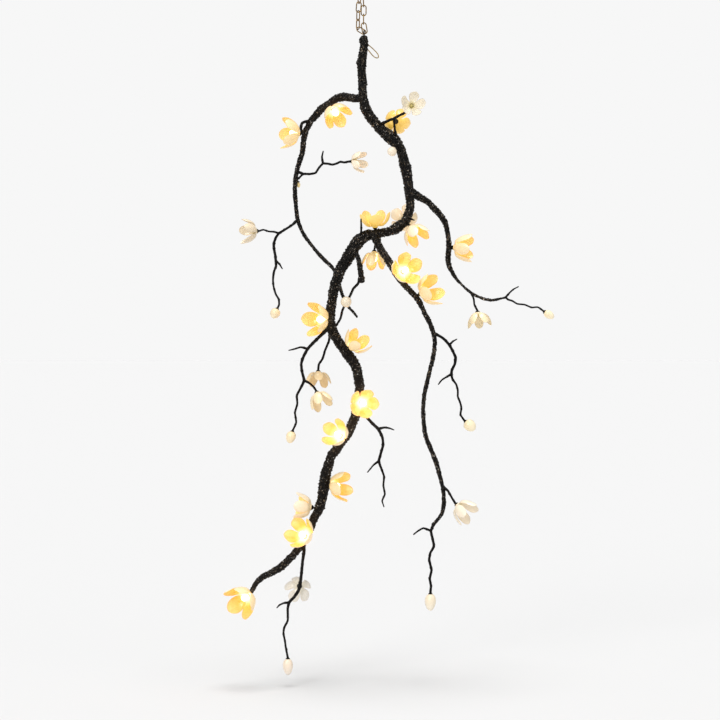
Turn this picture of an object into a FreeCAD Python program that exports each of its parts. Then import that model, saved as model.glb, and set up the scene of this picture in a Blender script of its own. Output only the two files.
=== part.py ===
import FreeCAD, Part
import Sketcher
import math
import os

# Branch chandelier. Millimetres, +Z up, origin on the ceiling plane in the middle of the mounting bar.
# The limbs are cast metal lofted round their centre lines, hollow for the lamp wiring. The twigs are thin rods.
# Each flower is five porcelain petals round a lamp, standing in a small metal calyx cup.

V = FreeCAD.Vector
doc = FreeCAD.newDocument("branch_chandelier")
sheet = doc.addObject("Spreadsheet::Sheet", "Sizes")

SIZES = [
    ("canopy_radius", 62), ("canopy_foot", 56), ("canopy_depth", 32), ("canopy_wall", 1.4), ("canopy_corner", 8),
    ("canopy_hole", 5.3), ("bar_length", 108), ("bar_width", 20), ("bar_gauge", 2.5), ("hole_spacing", 89),
    ("hole_radius", 2.4), ("nipple_radius", 5), ("nipple_bore", 3.5), ("nipple_length", 38),
    ("nut_flat", 14), ("nut_height", 4.5), ("loop_base_radius", 9), ("loop_base_height", 8), ("loop_radius", 9),
    ("loop_wire", 2.2), ("ring_radius", 14), ("ring_wire", 2), ("link_wire", 1.4), ("link_half_width", 6.3),
    ("eye_radius", 7), ("eye_wire", 2), ("eye_shank", 3), ("eye_shank_length", 16), ("eye_collar", 5.6),
    ("driver_length", 62), ("driver_width", 22), ("driver_height", 13), ("screw_radius", 1.5), ("screw_length", 7),
    ("screw_head", 2.8), ("lead_radius", 1.5), ("gland_flange", 4.6), ("gland_nose", 3), ("bore_share", 0.42),
    ("bore_most", 4.2), ("harness_share", 0.55), ("petal_gauge", 2.2), ("petal_start_radius", 8.6),
    ("petal_start_height", 8.2), ("cup_radius", 7.4), ("cup_height", 8.6), ("lamp_radius", 8), ("lamp_height", 21),
    ("holder_radius", 4.4), ("holder_height", 8.5), ("pedicel_radius", 3),
]
VALUE = {}
for row, (alias, number) in enumerate(SIZES, 1):
    sheet.set("A%d" % row, alias)
    sheet.set("B%d" % row, "%g" % number)
    sheet.setAlias("B%d" % row, alias)
doc.recompute()
for alias, number in SIZES:
    VALUE[alias] = float(sheet.get(alias))


def size(alias):
    return VALUE[alias]


nodes = {}


def keep(name, obj):
    obj.Label = name
    nodes[name] = obj
    return obj


def feature(name, shape, place=None):
    obj = doc.addObject("Part::Feature", name)
    obj.Shape = shape
    if place is not None:
        obj.Placement = place
    return keep(name, obj)


def lin(*terms):
    """A sum of cells and numbers, as the text of an expression and as its value."""
    words, total = [], 0.0
    for term in terms:
        if isinstance(term, (int, float)):
            words.append("(%g)" % term)
            total += term
        else:
            alias, k = term if isinstance(term, tuple) else (term, 1)
            words.append("(%g) * Sizes.%s" % (k, alias))
            total += k * size(alias)
    return " + ".join(words), total


def plane_of(body, role):
    return [f for f in body.Origin.OriginFeatures if f.Role == role][0]


def sketch_on(body, name, role="XY_Plane"):
    sk = body.newObject("Sketcher::SketchObject", name)
    sk.AttachmentSupport = [(plane_of(body, role), "")]
    sk.MapMode = "FlatFace"
    return sk


def outline(sk, points):
    """A closed outline whose corners are each held at a distance along X and Y that comes from the sheet."""
    vals = [(lin(*x), lin(*y)) for x, y in points]
    n = len(vals)
    ids = []
    for i in range(n):
        a, b = vals[i], vals[(i + 1) % n]
        ids.append(sk.addGeometry(Part.LineSegment(V(a[0][1], a[1][1], 0), V(b[0][1], b[1][1], 0)), False))
    for i in range(n):
        sk.addConstraint(Sketcher.Constraint("Coincident", ids[i], 2, ids[(i + 1) % n], 1))
    for i in range(n):
        for kind, (words, value) in (("DistanceX", vals[i][0]), ("DistanceY", vals[i][1])):
            if abs(value) < 1e-9:
                axis = -2 if kind == "DistanceX" else -1
                sk.addConstraint(Sketcher.Constraint("PointOnObject", ids[i], 1, axis))
            else:
                c = sk.addConstraint(Sketcher.Constraint(kind, -1, 1, ids[i], 1, value))
                sk.setExpression("Constraints[%d]" % c, words)
    return ids


def circle(sk, x, y, alias):
    """A round whose radius is a cell, centred at x, y (each a list of terms)."""
    vx, vy = lin(*x), lin(*y)
    g = sk.addGeometry(Part.Circle(V(vx[1], vy[1], 0), V(0, 0, 1), size(alias)), False)
    c = sk.addConstraint(Sketcher.Constraint("Radius", g, size(alias)))
    sk.setExpression("Constraints[%d]" % c, "Sizes." + alias)
    for kind, (words, value) in (("DistanceX", vx), ("DistanceY", vy)):
        if abs(value) < 1e-9:
            sk.addConstraint(Sketcher.Constraint("PointOnObject", g, 3, -2 if kind == "DistanceX" else -1))
        else:
            c = sk.addConstraint(Sketcher.Constraint(kind, -1, 1, g, 3, value))
            sk.setExpression("Constraints[%d]" % c, words)
    return g


def revolve_body(name, points, place=None):
    body = doc.addObject("PartDesign::Body", name)
    sk = sketch_on(body, name + "_profile", "XZ_Plane")
    outline(sk, points)
    rev = body.newObject("PartDesign::Revolution", name + "_turned")
    rev.Profile = sk
    rev.ReferenceAxis = (sk, ["V_Axis"])
    rev.Angle = 360.0
    doc.recompute()
    if place is not None:
        body.Placement = place
    return keep(name, body)


DOWN = FreeCAD.Placement(V(0, 0, 0), FreeCAD.Rotation(V(1, 0, 0), 180))

# ---------------------------------------------------------------- ceiling fitting
canopy = revolve_body("ceiling_canopy", [
    (["canopy_hole"], ["canopy_depth"]),
    (["canopy_hole"], ["canopy_depth", ("canopy_wall", -1)]),
    (["canopy_foot", ("canopy_corner", -1)], ["canopy_depth", ("canopy_wall", -1)]),
    (["canopy_foot", ("canopy_wall", -1)], ["canopy_depth", ("canopy_corner", -1)]),
    (["canopy_radius", ("canopy_wall", -1)], [0]),
    (["canopy_radius"], [0]),
    (["canopy_foot"], ["canopy_depth", ("canopy_corner", -1), 0.4]),
    (["canopy_foot", ("canopy_corner", -1), 0.4], ["canopy_depth"]),
], DOWN)

bar = doc.addObject("PartDesign::Body", "mounting_bar")
sk = sketch_on(bar, "bar_outline")
outline(sk, [
    ([("bar_length", -0.5)], [("bar_width", -0.5)]), ([("bar_length", 0.5)], [("bar_width", -0.5)]),
    ([("bar_length", 0.5)], [("bar_width", 0.5)]), ([("bar_length", -0.5)], [("bar_width", 0.5)]),
])
pad = bar.newObject("PartDesign::Pad", "bar_plate")
pad.Profile = sk
pad.Length = size("bar_gauge")
pad.setExpression("Length", "Sizes.bar_gauge")
doc.recompute()
before = bar.Shape.Volume
sk = sketch_on(bar, "bar_holes")
circle(sk, [0], [0], "nipple_radius")
for side in (-1, 1):
    circle(sk, [("hole_spacing", 0.5 * side)], [0], "hole_radius")
pocket = bar.newObject("PartDesign::Pocket", "bar_cut")
pocket.Profile = sk
pocket.Type = 1
pocket.Reversed = True
doc.recompute()
if not bar.Shape.Volume < before - 50:
    pocket.Reversed = False
    doc.recompute()
assert bar.Shape.Volume < before - 50, "the bar's holes cut nothing"
bar.Placement = DOWN
keep("mounting_bar", bar)

nipple = doc.addObject("PartDesign::Body", "threaded_nipple")
sk = sketch_on(nipple, "nipple_rings")
circle(sk, [0], [0], "nipple_radius")
circle(sk, [0], [0], "nipple_bore")
pad = nipple.newObject("PartDesign::Pad", "nipple_tube")
pad.Profile = sk
pad.Length = size("nipple_length")
pad.setExpression("Length", "Sizes.nipple_length")
nipple.Placement = DOWN
doc.recompute()
keep("threaded_nipple", nipple)

# two nuts: one under the bar, one inside the canopy's floor
nut_solids = []
for i, drop in enumerate((size("bar_gauge"), size("canopy_depth") - size("canopy_wall") - size("nut_height"))):
    prism = doc.addObject("Part::Prism", "nut_block_%d" % i)
    prism.Polygon = 6
    prism.setExpression("Circumradius", "Sizes.nut_flat / 2 / cos(30 deg)")
    prism.setExpression("Height", "Sizes.nut_height")
    core = doc.addObject("Part::Cylinder", "nut_core_%d" % i)
    core.setExpression("Radius", "Sizes.nipple_radius")
    core.setExpression("Height", "Sizes.nut_height")
    for o in (prism, core):
        o.Placement = FreeCAD.Placement(V(0, 0, -drop - size("nut_height")), FreeCAD.Rotation())
    cut = doc.addObject("Part::Cut", "nut_%d" % i)
    cut.Base = prism
    cut.Tool = core
    nut_solids.append(cut)
doc.recompute()
nuts = doc.addObject("Part::Compound", "nipple_nuts")
nuts.Links = nut_solids
keep("nipple_nuts", nuts)

# loop under the canopy: a round base threaded on the nipple and a closed eye in the XZ plane
z_base = -size("canopy_depth")
z_loop = z_base - size("loop_base_height") - size("loop_radius") + 0.6
base = doc.addObject("Part::Cylinder", "loop_base")
base.setExpression("Radius", "Sizes.loop_base_radius")
base.setExpression("Height", "Sizes.loop_base_height")
base.Placement = FreeCAD.Placement(V(0, 0, z_base - size("loop_base_height")), FreeCAD.Rotation())
hole = doc.addObject("Part::Cylinder", "loop_thread")
hole.setExpression("Radius", "Sizes.nipple_radius")
hole.Height = size("nipple_length") - size("canopy_depth")
hole.setExpression("Height", "Sizes.nipple_length - Sizes.canopy_depth")
hole.Placement = FreeCAD.Placement(V(0, 0, -size("nipple_length")), FreeCAD.Rotation())
eye = doc.addObject("Part::Torus", "loop_eye")
eye.setExpression("Radius1", "Sizes.loop_radius")
eye.setExpression("Radius2", "Sizes.loop_wire")
eye.Placement = FreeCAD.Placement(V(0, 0, z_loop), FreeCAD.Rotation(V(1, 0, 0), 90))
fuse = doc.addObject("Part::Fuse", "loop_whole")
fuse.Base = base
fuse.Tool = eye
cut = doc.addObject("Part::Cut", "canopy_loop")
cut.Base = fuse
cut.Tool = hole
doc.recompute()
keep("canopy_loop", cut)

# low-voltage driver, screwed to the bar's underside beside the nipple
driver = doc.addObject("PartDesign::Body", "led_driver")
sk = sketch_on(driver, "driver_outline")
outline(sk, [
    ([("driver_length", -0.5)], [("driver_width", -0.5)]), ([("driver_length", 0.5)], [("driver_width", -0.5)]),
    ([("driver_length", 0.5)], [("driver_width", 0.5)]), ([("driver_length", -0.5)], [("driver_width", 0.5)]),
])
pad = driver.newObject("PartDesign::Pad", "driver_case")
pad.Profile = sk
pad.Length = size("driver_height")
pad.setExpression("Length", "Sizes.driver_height")
doc.recompute()
fil = driver.newObject("PartDesign::Fillet", "driver_rounds")
upright = ["Edge%d" % (i + 1) for i, e in enumerate(pad.Shape.Edges)
           if abs(e.Vertexes[0].Z - e.Vertexes[-1].Z) > 5]
fil.Base = (pad, upright)
fil.Radius = 2.5
driver.Placement = FreeCAD.Placement(V(0, 22, -size("bar_gauge") - 0.2), FreeCAD.Rotation(V(1, 0, 0), 180))
doc.recompute()
keep("led_driver", driver)

# ---------------------------------------------------------------- tables: centre lines as x, y, z, radius
LIMBS = {
    "stem": [
        (1.6, 0, -205.7, 8.6), (1.4, 0, -216.3, 10.1), (0.5, 0, -234, 10), (-2.1, 0, -252.2, 10.9),
        (-3.9, 0, -275.6, 11.2), (-3.4, 0, -301.6, 10.4), (-2.1, 0, -319.8, 11.3), (-2.1, 0, -343.2, 11.1),
        (0, 0, -366.6, 11.7),
    ],
    "right_arm": [
        (0, 0, -366.6, 11.7), (4.2, -3, -385.2, 12.2), (13.5, -6, -406.4, 12.6), (30.6, -12, -431, 12.7),
        (48.2, -18, -450.6, 13.7), (66.2, -24, -466.9, 14.7), (83.2, -26, -483.9, 13.7), (95.7, -24, -501.8, 11.9),
        (103, -20, -523.4, 12.2), (110.4, -14, -548.7, 13.5), (115.2, -8, -577.9, 12.2), (119.8, -2, -608.6, 12),
    ],
    "middle_trunk": [
        (119.8, -2, -608.6, 12), (121.6, -4, -637.3, 10.9), (117.7, -12, -665.2, 11.4), (104.5, -24, -689.4, 11.9),
        (81.5, -36, -706.5, 12.4), (53, -46, -716.5, 11.5), (27.7, -52, -721.5, 11.8), (6.6, -55, -726.9, 13.9),
        (-12.4, -54, -739.7, 15.4), (-27.9, -50, -760.3, 15.4),
    ],
    "lower_trunk": [
        (-27.9, -50, -760.3, 15.4), (-41.3, -44, -783.6, 14.9), (-57.4, -36, -810.3, 14.2), (-69.4, -26, -839.3, 12.9),
        (-77.8, -14, -868.9, 12.4), (-82.7, -2, -898.4, 11.8), (-86.4, 8, -926.7, 12.2), (-85.5, 16, -952.6, 13),
        (-76.7, 22, -977.8, 13.1), (-60.6, 26, -1003.4, 12.8), (-41.8, 26, -1028.5, 13.3), (-24.5, 22, -1054.6, 12.8),
        (-14.3, 14, -1083.8, 12.5), (-9.9, 4, -1115.5, 12), (-10.4, -8, -1149, 11.7), (-18.7, -18, -1183, 11.4),
        (-30.6, -26, -1214.9, 11.6), (-46.6, -30, -1244.2, 11.9), (-64.7, -28, -1269.1, 11.6), (-80.8, -22, -1291.1, 11.6),
        (-91, -14, -1317.4, 12.2), (-98.7, -4, -1346.6, 13.2), (-103.1, 6, -1375.8, 13),
    ],
    "trunk_end": [
        (-103.1, 6, -1375.8, 13), (-107.4, 16, -1405.1, 12.5), (-116.2, 24, -1433.4, 11.6), (-129.7, 30, -1461.1, 11),
        (-141.8, 32, -1491.3, 10.5), (-159.4, 26, -1525, 9.7), (-179.5, 18, -1550.4, 9.4), (-199.5, 8, -1570.2, 9.4),
        (-219.3, -4, -1586.1, 9.4), (-240.1, -14, -1597.4, 8.6), (-260.3, -24, -1606.7, 7.8), (-276, -32, -1620.3, 6.7),
        (-291.6, -39, -1644.2, 5.7),
    ],
    "left_arm": [
        (0, 0, -366.6, 9.6), (-25.5, 6, -363.7, 9.6), (-48.5, 12, -359.8, 10.2), (-69.9, 18, -362.6, 10.3),
        (-88.5, 24, -375.9, 10.4), (-109.3, 32, -388.9, 9.7), (-125.7, 40, -405.2, 8.9), (-139.6, 48, -421.5, 8.5),
        (-151.3, 56, -442.1, 8.3), (-156.6, 64, -465.9, 7.6), (-160.2, 72, -494, 7.1), (-167.6, 80, -519.5, 6.6),
        (-176, 86, -546.7, 6.1), (-180.6, 90, -578, 5.7), (-180.9, 92, -608.3, 5.6), (-178.3, 92, -640.1, 5.6),
        (-173.2, 90, -673.6, 5.6), (-163.3, 86, -701.9, 5), (-145.1, 80, -731.4, 4.6), (-122.8, 72, -759.3, 4.7),
        (-100, 64, -784, 4.7), (-78.2, 56, -807, 4.7), (-66.6, 48, -832.6, 4.6), (-60.2, 42, -857.5, 4.5),
        (-52.8, 36, -880.2, 4.2), (-40.5, 32, -904.4, 3.9), (-25.6, 28, -920.7, 3.5), (-16.4, 26, -933.1, 2.9),
    ],
    "right_branch": [
        (119.8, -2, -608.6, 10.7), (131.3, 8, -612.4, 10.7), (148.3, 20, -621.8, 9.1), (168, 32, -631.2, 8.4),
        (184.4, 42, -647.2, 8.1), (200.8, 52, -663.8, 8.4), (214, 60, -682.6, 7.1), (220.3, 66, -705.4, 6.6),
        (224.5, 70, -729.4, 6.7), (225.6, 72, -753.5, 7.3), (223, 72, -775.7, 7), (226.3, 70, -797.4, 6.1),
        (235.7, 68, -817, 5.1), (244.6, 66, -831.3, 4.3), (259.6, 62, -847.3, 3), (283, 56, -868.5, 3.7),
        (301, 50, -878.7, 3.8), (319, 44, -885.7, 3.9), (337, 38, -888.5, 3.5), (354.9, 32, -885.6, 3.1),
        (371.8, 28, -881.5, 2.7),
    ],
    "lower_right_branch": [
        (27.7, -52, -721.5, 9.5), (34.3, -62, -739.6, 9.9), (43.4, -74, -760.4, 9.7), (55.6, -84, -779.3, 9.5),
        (67.7, -92, -798.2, 9.2), (80.4, -98, -820.9, 8.7), (101.2, -102, -849.6, 8.2), (119.5, -102, -869.5, 7.6),
        (134.9, -100, -887.2, 6.9), (146.5, -96, -905.5, 6.4), (156.6, -90, -925.2, 6.1), (167.6, -82, -947, 6.1),
        (177.6, -74, -969.9, 6), (183.2, -62, -1002.1, 5.6), (180.1, -50, -1035.9, 5.5), (172.3, -38, -1068.4, 5.4),
        (165, -26, -1101.6, 5.4), (158.1, -14, -1136.2, 5.2), (155.3, -4, -1172.5, 5.1), (157.2, 4, -1208.1, 5.2),
        (162.6, 10, -1243.7, 5.5), (176.3, 14, -1278.3, 5.7), (188.6, 16, -1309.2, 6.1), (197.7, 16, -1339.9, 5.5),
        (205.5, 14, -1371.6, 5), (209, 12, -1397, 5.1), (209.5, 10, -1421.1, 5.3), (205.2, 8, -1442.6, 4.7),
        (193.2, 6, -1461.2, 4.2), (180.1, 4, -1474, 3.8),
    ],
    "stub_branch": [
        (-27.9, -50, -760.3, 7.7), (-17.6, -64, -774.2, 5.6), (-11.4, -72, -793.6, 6.3), (-7.8, -78, -816.9, 6.9),
        (-4, -82, -844.7, 7.2),
    ],
}

TWIGS = {
    "left_arm_twigs": [
        ("left_arm", [
            (-139.6, 48, -421.5, 4.2), (-151.4, 40, -420.4, 3.9), (-160.6, 32, -426.1, 3.8), (-163.6, 26, -439.4, 3.7),
            (-159.3, 22, -453.4, 3.7),
        ]),
        ("left_arm", [
            (-176, 86, -546.7, 4), (-157.6, 72, -554.1, 3.2), (-141.6, 64, -555.4, 3.2), (-125.6, 56, -553, 3),
            (-117, 50, -541, 3), (-105.7, 46, -529.9, 3.1), (-92.7, 42, -530.8, 3), (-81.1, 38, -533.3, 2.9),
            (-70.6, 34, -531.1, 2.9), (-59.6, 30, -526.8, 2.9), (-49.6, 26, -528.8, 2.9), (-41.2, 22, -527.6, 3),
            (-33.4, 20, -526.8, 3.4),
        ]),
        ("+1", [
            (-105.7, 46, -529.9, 2.9), (-108.4, 40, -513.2, 2.6), (-105.2, 36, -498.4, 1.8),
        ]),
    ],
    "left_hanging_twig": [
        ("left_arm", [
            (-173.2, 90, -673.6, 4), (-186.8, 78, -687.7, 3.4), (-197.6, 70, -695.6, 3.2), (-211.3, 62, -704.9, 3.2),
            (-222.1, 56, -712.4, 3.4), (-229.5, 52, -723.1, 3.4), (-234.6, 48, -738.1, 3.7), (-234.7, 44, -752.5, 3.7),
            (-231.1, 40, -769, 3.5), (-229.6, 36, -784.4, 3.7), (-228.6, 32, -799.2, 3.4), (-233.7, 28, -814.1, 3.1),
            (-236.1, 24, -835.2, 2.9), (-234.1, 20, -854.9, 2.7), (-228.7, 16, -873.1, 2.7), (-220.5, 12, -887.8, 2.7),
            (-219.9, 10, -900.9, 2.7), (-223.4, 8, -909.8, 2.9),
        ]),
        ("+0", [
            (-222.1, 56, -712.4, 2.9), (-233.5, 48, -708.9, 2.5), (-247.9, 40, -708.2, 2.4), (-261.6, 32, -704.5, 2.4),
            (-272.8, 26, -708.1, 2.6),
        ]),
        ("+0", [
            (-229.6, 36, -784.4, 2.9), (-219.1, 30, -795.1, 2.4), (-211.9, 26, -806.8, 1.6),
        ]),
    ],
    "crossing_twig": [
        ("stub_branch", [
            (-7.8, -80, -827.2, 3.8), (-13.5, -74, -849, 3.5), (-25.3, -62, -861.3, 3.3), (-35.1, -42, -880.7, 3.2),
            (-45.1, -24, -897.7, 3.2), (-54.5, -6, -916.4, 3.1), (-59.4, 14, -935.7, 3.1), (-70.1, 38, -953, 3.1),
            (-86.6, 54, -972.7, 3.2), (-90.9, 58, -996.3, 3.2), (-100.3, 56, -1018.9, 3), (-107.1, 52, -1041.5, 3),
            (-116.5, 48, -1056.2, 3), (-118.5, 44, -1070.4, 3.3),
        ]),
    ],
    "lower_left_twig": [
        ("lower_trunk", [
            (-85.5, 16, -952.6, 5.5), (-98.9, 4, -969.7, 4.9), (-114.2, -8, -985, 4.4), (-129.3, -18, -999.6, 4.1),
            (-144.1, -26, -1016.5, 4.1), (-154, -32, -1034.9, 3.9), (-160.6, -36, -1055.5, 3.6), (-158, -38, -1077.2, 3.6),
            (-153.3, -40, -1097.8, 3.9), (-161.5, -40, -1116.9, 3.4), (-171.6, -40, -1136.5, 3.1), (-170.6, -38, -1157.7, 2.8),
            (-176.6, -36, -1181.5, 2.8), (-173.6, -34, -1206.3, 2.7), (-182.4, -32, -1227.3, 2.8),
        ]),
        ("+0", [
            (-144.1, -26, -1016.5, 3.1), (-161.8, -32, -1012.1, 2.6), (-176.4, -36, -1016.3, 2.3), (-192.5, -40, -1020.4, 1.5),
        ]),
        ("+0", [
            (-153.3, -40, -1097.8, 3.1), (-139.2, -44, -1105, 2.8), (-128.9, -46, -1113.7, 2.7), (-122.1, -48, -1124, 3),
        ]),
    ],
    "trunk_twig": [
        ("lower_trunk", [
            (-10.4, -11, -1159.3, 4.4), (3.1, -24, -1186, 4.1), (21.1, -34, -1206.9, 3.9), (38.1, -42, -1223.1, 4.1),
            (48.8, -48, -1244.5, 3.6), (50.4, -50, -1265, 3.5), (44.2, -50, -1288.2, 3.5), (39.8, -48, -1305.3, 3.6),
            (45.8, -46, -1324.4, 3.1), (53, -44, -1344.9, 2.8), (51.5, -42, -1368.8, 2.6), (55.1, -40, -1391.8, 2.5),
            (48.4, -38, -1408.5, 2.2), (53.1, -36, -1424.4, 1.5),
        ]),
        ("+0", [
            (38.1, -42, -1223.1, 3.4), (54.2, -50, -1218.9, 2.7), (67.3, -54, -1220.9, 2.3), (78.3, -58, -1224.8, 1.5),
        ]),
        ("+0", [
            (39.8, -48, -1305.3, 3.1), (25.4, -54, -1316, 2.4), (10.4, -60, -1333.9, 1.5),
        ]),
    ],
    "end_twig": [
        ("trunk_end", [
            (-157.3, 27, -1519.9, 5.2), (-154.8, 12, -1543, 4.4), (-158.1, 0, -1569.4, 3.9), (-160.4, -8, -1595, 3.9),
            (-163.4, -14, -1620.8, 4.1), (-167.9, -18, -1641.6, 4.3), (-178.7, -20, -1658.4, 3.9), (-192.1, -22, -1672.7, 3.9),
            (-195.7, -24, -1687.9, 3.4), (-195.6, -26, -1704.8, 3.1), (-196.1, -26, -1720.3, 3), (-204.9, -26, -1737.1, 2.8),
            (-206.7, -26, -1752.9, 2.8), (-203.1, -26, -1771, 2.8), (-200.2, -26, -1791.7, 2.8), (-195.6, -26, -1814.9, 3.1),
        ]),
        ("+0", [
            (-192.1, -22, -1672.7, 3.1), (-206.6, -28, -1674, 2.6), (-216.5, -32, -1678.1, 2.2), (-223.7, -34, -1685.1, 1.5),
        ]),
    ],
    "upper_right_twig": [
        ("right_arm", [
            (36.3, -14, -437.5, 4.7), (53.7, -34, -432.2, 3.9), (66, -40, -427.2, 3.6), (79.3, -44, -422.6, 3.7),
            (92.4, -48, -415.3, 3.3), (102.9, -50, -411, 3.2), (112.6, -52, -403.5, 3.3), (120.3, -54.5, -395.6, 3.3),
        ]),
        ("+0", [
            (79.3, -44, -422.6, 3.1), (79.9, -40, -440.9, 2.8), (81.5, -37, -451.6, 2.8), (84.4, -33, -464.1, 3.1),
            (86.8, -28, -479, 3.4),
        ]),
    ],
    "right_branch_twigs": [
        ("right_branch", [
            (371.8, 28, -881.5, 2.7), (379.9, 24, -871.7, 2.4), (391.3, 20, -860.9, 2), (404.8, 16, -853.7, 1.4),
        ]),
        ("+0", [
            (371.8, 28, -881.5, 2.6), (378.3, 24, -887.4, 2.5), (388.5, 21, -890.6, 2.5), (401.6, 18, -898.6, 2.3),
            (420.1, 14, -901, 2.3), (438.2, 10, -908.2, 2.3), (454, 6, -907.8, 2.3), (469.7, 4, -918.7, 2.6),
        ]),
        ("right_branch", [
            (283, 56, -868.5, 2.9), (289.5, 50, -883.4, 2.6), (291.3, 46, -899.3, 2.6), (298.4, 42, -914.6, 2.9),
        ]),
    ],
    "lower_right_twigs": [
        ("lower_right_branch", [
            (179.8, -71, -976.5, 4.1), (198.2, -60, -985.1, 3.6), (209.8, -54, -993.8, 3.6), (221.1, -48, -1006.6, 3.7),
            (230.7, -42, -1022.8, 3.6), (237.6, -38, -1039, 3.9), (236, -34, -1055.5, 3.6), (228.9, -30, -1070.5, 3.5),
            (227.5, -28, -1081.9, 3.6), (230.7, -26, -1094.9, 3.1), (240.1, -24, -1108.3, 2.8), (244.3, -22, -1123.4, 2.7),
            (244.4, -20, -1140, 2.7), (250.2, -18, -1154, 2.7), (254, -16, -1169.6, 2.7), (252, -14, -1186.8, 2.7),
            (262.5, -12, -1202.9, 2.9),
        ]),
        ("+0", [
            (221.1, -48, -1006.6, 2.8), (229.9, -52, -997.6, 2.3), (240.3, -56, -991.5, 1.5),
        ]),
        ("+0", [
            (227.5, -28, -1081.9, 3.1), (214.8, -34, -1088.8, 2.6), (202.7, -40, -1096.3, 2.2), (192.9, -44, -1108.6, 1.5),
        ]),
        ("lower_right_branch", [
            (206, 14, -1373.7, 3.7), (220.1, 4, -1386.1, 3.1), (229.4, -4, -1402.2, 3), (238.2, -10, -1416.8, 3.2),
        ]),
        ("lower_right_branch", [
            (184.3, 5, -1469.9, 3.9), (175.8, 0, -1489.3, 3.6), (179.5, -4, -1509.2, 3.5), (183, -8, -1528.5, 3.5),
            (173.6, -10, -1546.3, 3.4), (170.9, -12, -1565, 3.4), (176.6, -12, -1589.9, 3.4), (172.2, -12, -1612.2, 3.4),
            (175.3, -12, -1631.4, 3.4), (173.8, -12, -1648.8, 3.5),
        ]),
        ("+4", [
            (175.8, 0, -1489.3, 3.1), (155.3, -6, -1482, 2.6), (142.7, -10, -1488.1, 2.3), (129.9, -14, -1497.9, 1.6),
        ]),
    ],
    "spur_twigs": [
        ("middle_trunk", [
            (-7.3, -54, -735.5, 3.9), (-5.8, -74, -714.8, 2.8), (-5.8, -86, -700.2, 2.6), (-6.3, -94, -685.5, 1.8),
        ]),
        ("middle_trunk", [
            (111.4, -17, -676.7, 3.4), (121.4, -32, -680.4, 2.8), (131.4, -42, -684.8, 1.5),
        ]),
    ],
}

FLOWERS = [
    ("flower_f1", (-161.3, 21, -454.6), (-1, -0.28, 0.04), 39, 54, 1),
    ("flower_f2", (-82.7, 4, -387.4), (0.46, -0.58, -0.7), 37, 47, 1),
    ("flower_hh", (83.2, -26, -428.1), (0.12, 0.95, 0.1), 34, 46, 1),
    ("flower_jj", (30.3, -50, -709.6), (-0.06, -0.22, 1), 39, 46, 1),
    ("flower_ll", (111.2, -3, -686.6), (-0.12, 0.95, 0.32), 36, 46, 1),
    ("flower_mm", (119, -24, -696.4), (0.5, -0.4, -0.78), 35, 52, 1),
    ("flower_nn", (28.3, -34, -760.1), (-0.04, -0.16, -1), 30, 48, 1),
    ("flower_k", (97.4, -110, -823.2), (0.34, -0.91, 0.23), 41, 46, 1),
    ("flower_oo", (140, -100, -878.8), (0.84, -0.42, 0.34), 42, 54, 1),
    ("flower_j", (232, 68, -748.5), (1, -0.22, -0.04), 37, 56, 1),
    ("flower_q", (-93.6, 2, -940.1), (-0.84, -0.62, 0.02), 44, 54, 1),
    ("flower_v", (-36, 16, -1020.7), (0.6, -0.42, 0.72), 36, 52, 1),
    ("flower_w", (-6.3, -20, -1155), (0.22, -0.95, -0.06), 38, 44, 1),
    ("flower_y", (-54.2, -40, -1244.3), (-0.5, -0.78, 0.32), 36, 50, 1),
    ("flower_z", (-90.9, -6, -1371.9), (0.92, -0.4, 0.02), 38, 54, 1),
    ("flower_aa", (-129.4, 30, -1431.3), (-1, 0.12, 0.1), 34, 50, 1),
    ("flower_bb", (-147.4, 8, -1507.2), (-0.46, -0.78, 0.36), 40, 52, 1),
    ("flower_cc", (-293.1, -40, -1646.2), (-0.54, -0.74, -0.45), 44, 56, 1),
    ("unlit_gg", (121.7, -57, -393.9), (0.16, -0.96, 0.12), 31, 37, 0),
    ("unlit_l1", (-33.4, 20, -526.8), (0.88, -0.44, -0.06), 28, 40, 0),
    ("unlit_m", (-273.3, 26, -708.1), (-1, -0.3, -0.08), 32, 46, 0),
    ("unlit_pendant", (298.4, 42, -915.2), (0.16, -0.22, -1), 31, 42, 0),
    ("unlit_u", (-118.5, 44, -1070.9), (0.03, -0.35, -1), 32, 40, 0),
    ("unlit_s", (-122.1, -48, -1124.5), (0.42, -0.32, -0.86), 30, 46, 0),
    ("unlit_l", (238.2, -10, -1417.3), (0.72, -0.34, -0.6), 33, 54, 0),
    ("unlit_ff", (-165.2, -4, -1630.8), (-0.14, 0.82, -0.36), 34, 44, 0),
]

BUDS = [
    ("bud_arm", (-174.3, 98.4, -570.6), (0.2, 0.12, -0.96), 5.2, 18),
    ("bud_ii", (81, -38, -507), (-0.55, -0.8, -0.1), 12, 26),
    ("bud_p", (-44.5, -36, -895), (0, -1, -0.05), 14, 28),
    ("bud_right", (468.8, 4, -918.2), (0.84, -0.1, -0.56), 10.4, 32),
    ("bud_left", (-223.4, 8, -909.8), (-0.42, -0.2, -0.9), 13, 30),
    ("bud_mid", (262.5, -12, -1202.9), (0.74, -0.2, -0.66), 15, 36),
    ("bud_t", (-182.4, -32, -1227.3), (-0.3, -0.1, -1), 12.6, 34),
    ("bud_low", (173.8, -12, -1648.8), (0, 0, -1), 14.3, 47),
    ("bud_ee", (-195.6, -26, -1814.9), (0.02, 0, -1), 13, 45),
]

# ---------------------------------------------------------------- chain
z_ring = z_loop - size("loop_radius") + size("loop_wire") + size("ring_wire") + 0.3 - size("ring_radius")
RING_X = 0.0
ring = doc.addObject("Part::Torus", "top_ring")
ring.setExpression("Radius1", "Sizes.ring_radius")
ring.setExpression("Radius2", "Sizes.ring_wire")
ring.Placement = FreeCAD.Placement(V(RING_X, 0, z_ring), FreeCAD.Rotation(V(0, 1, 0), 90))
doc.recompute()
keep("top_ring", ring)


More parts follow.
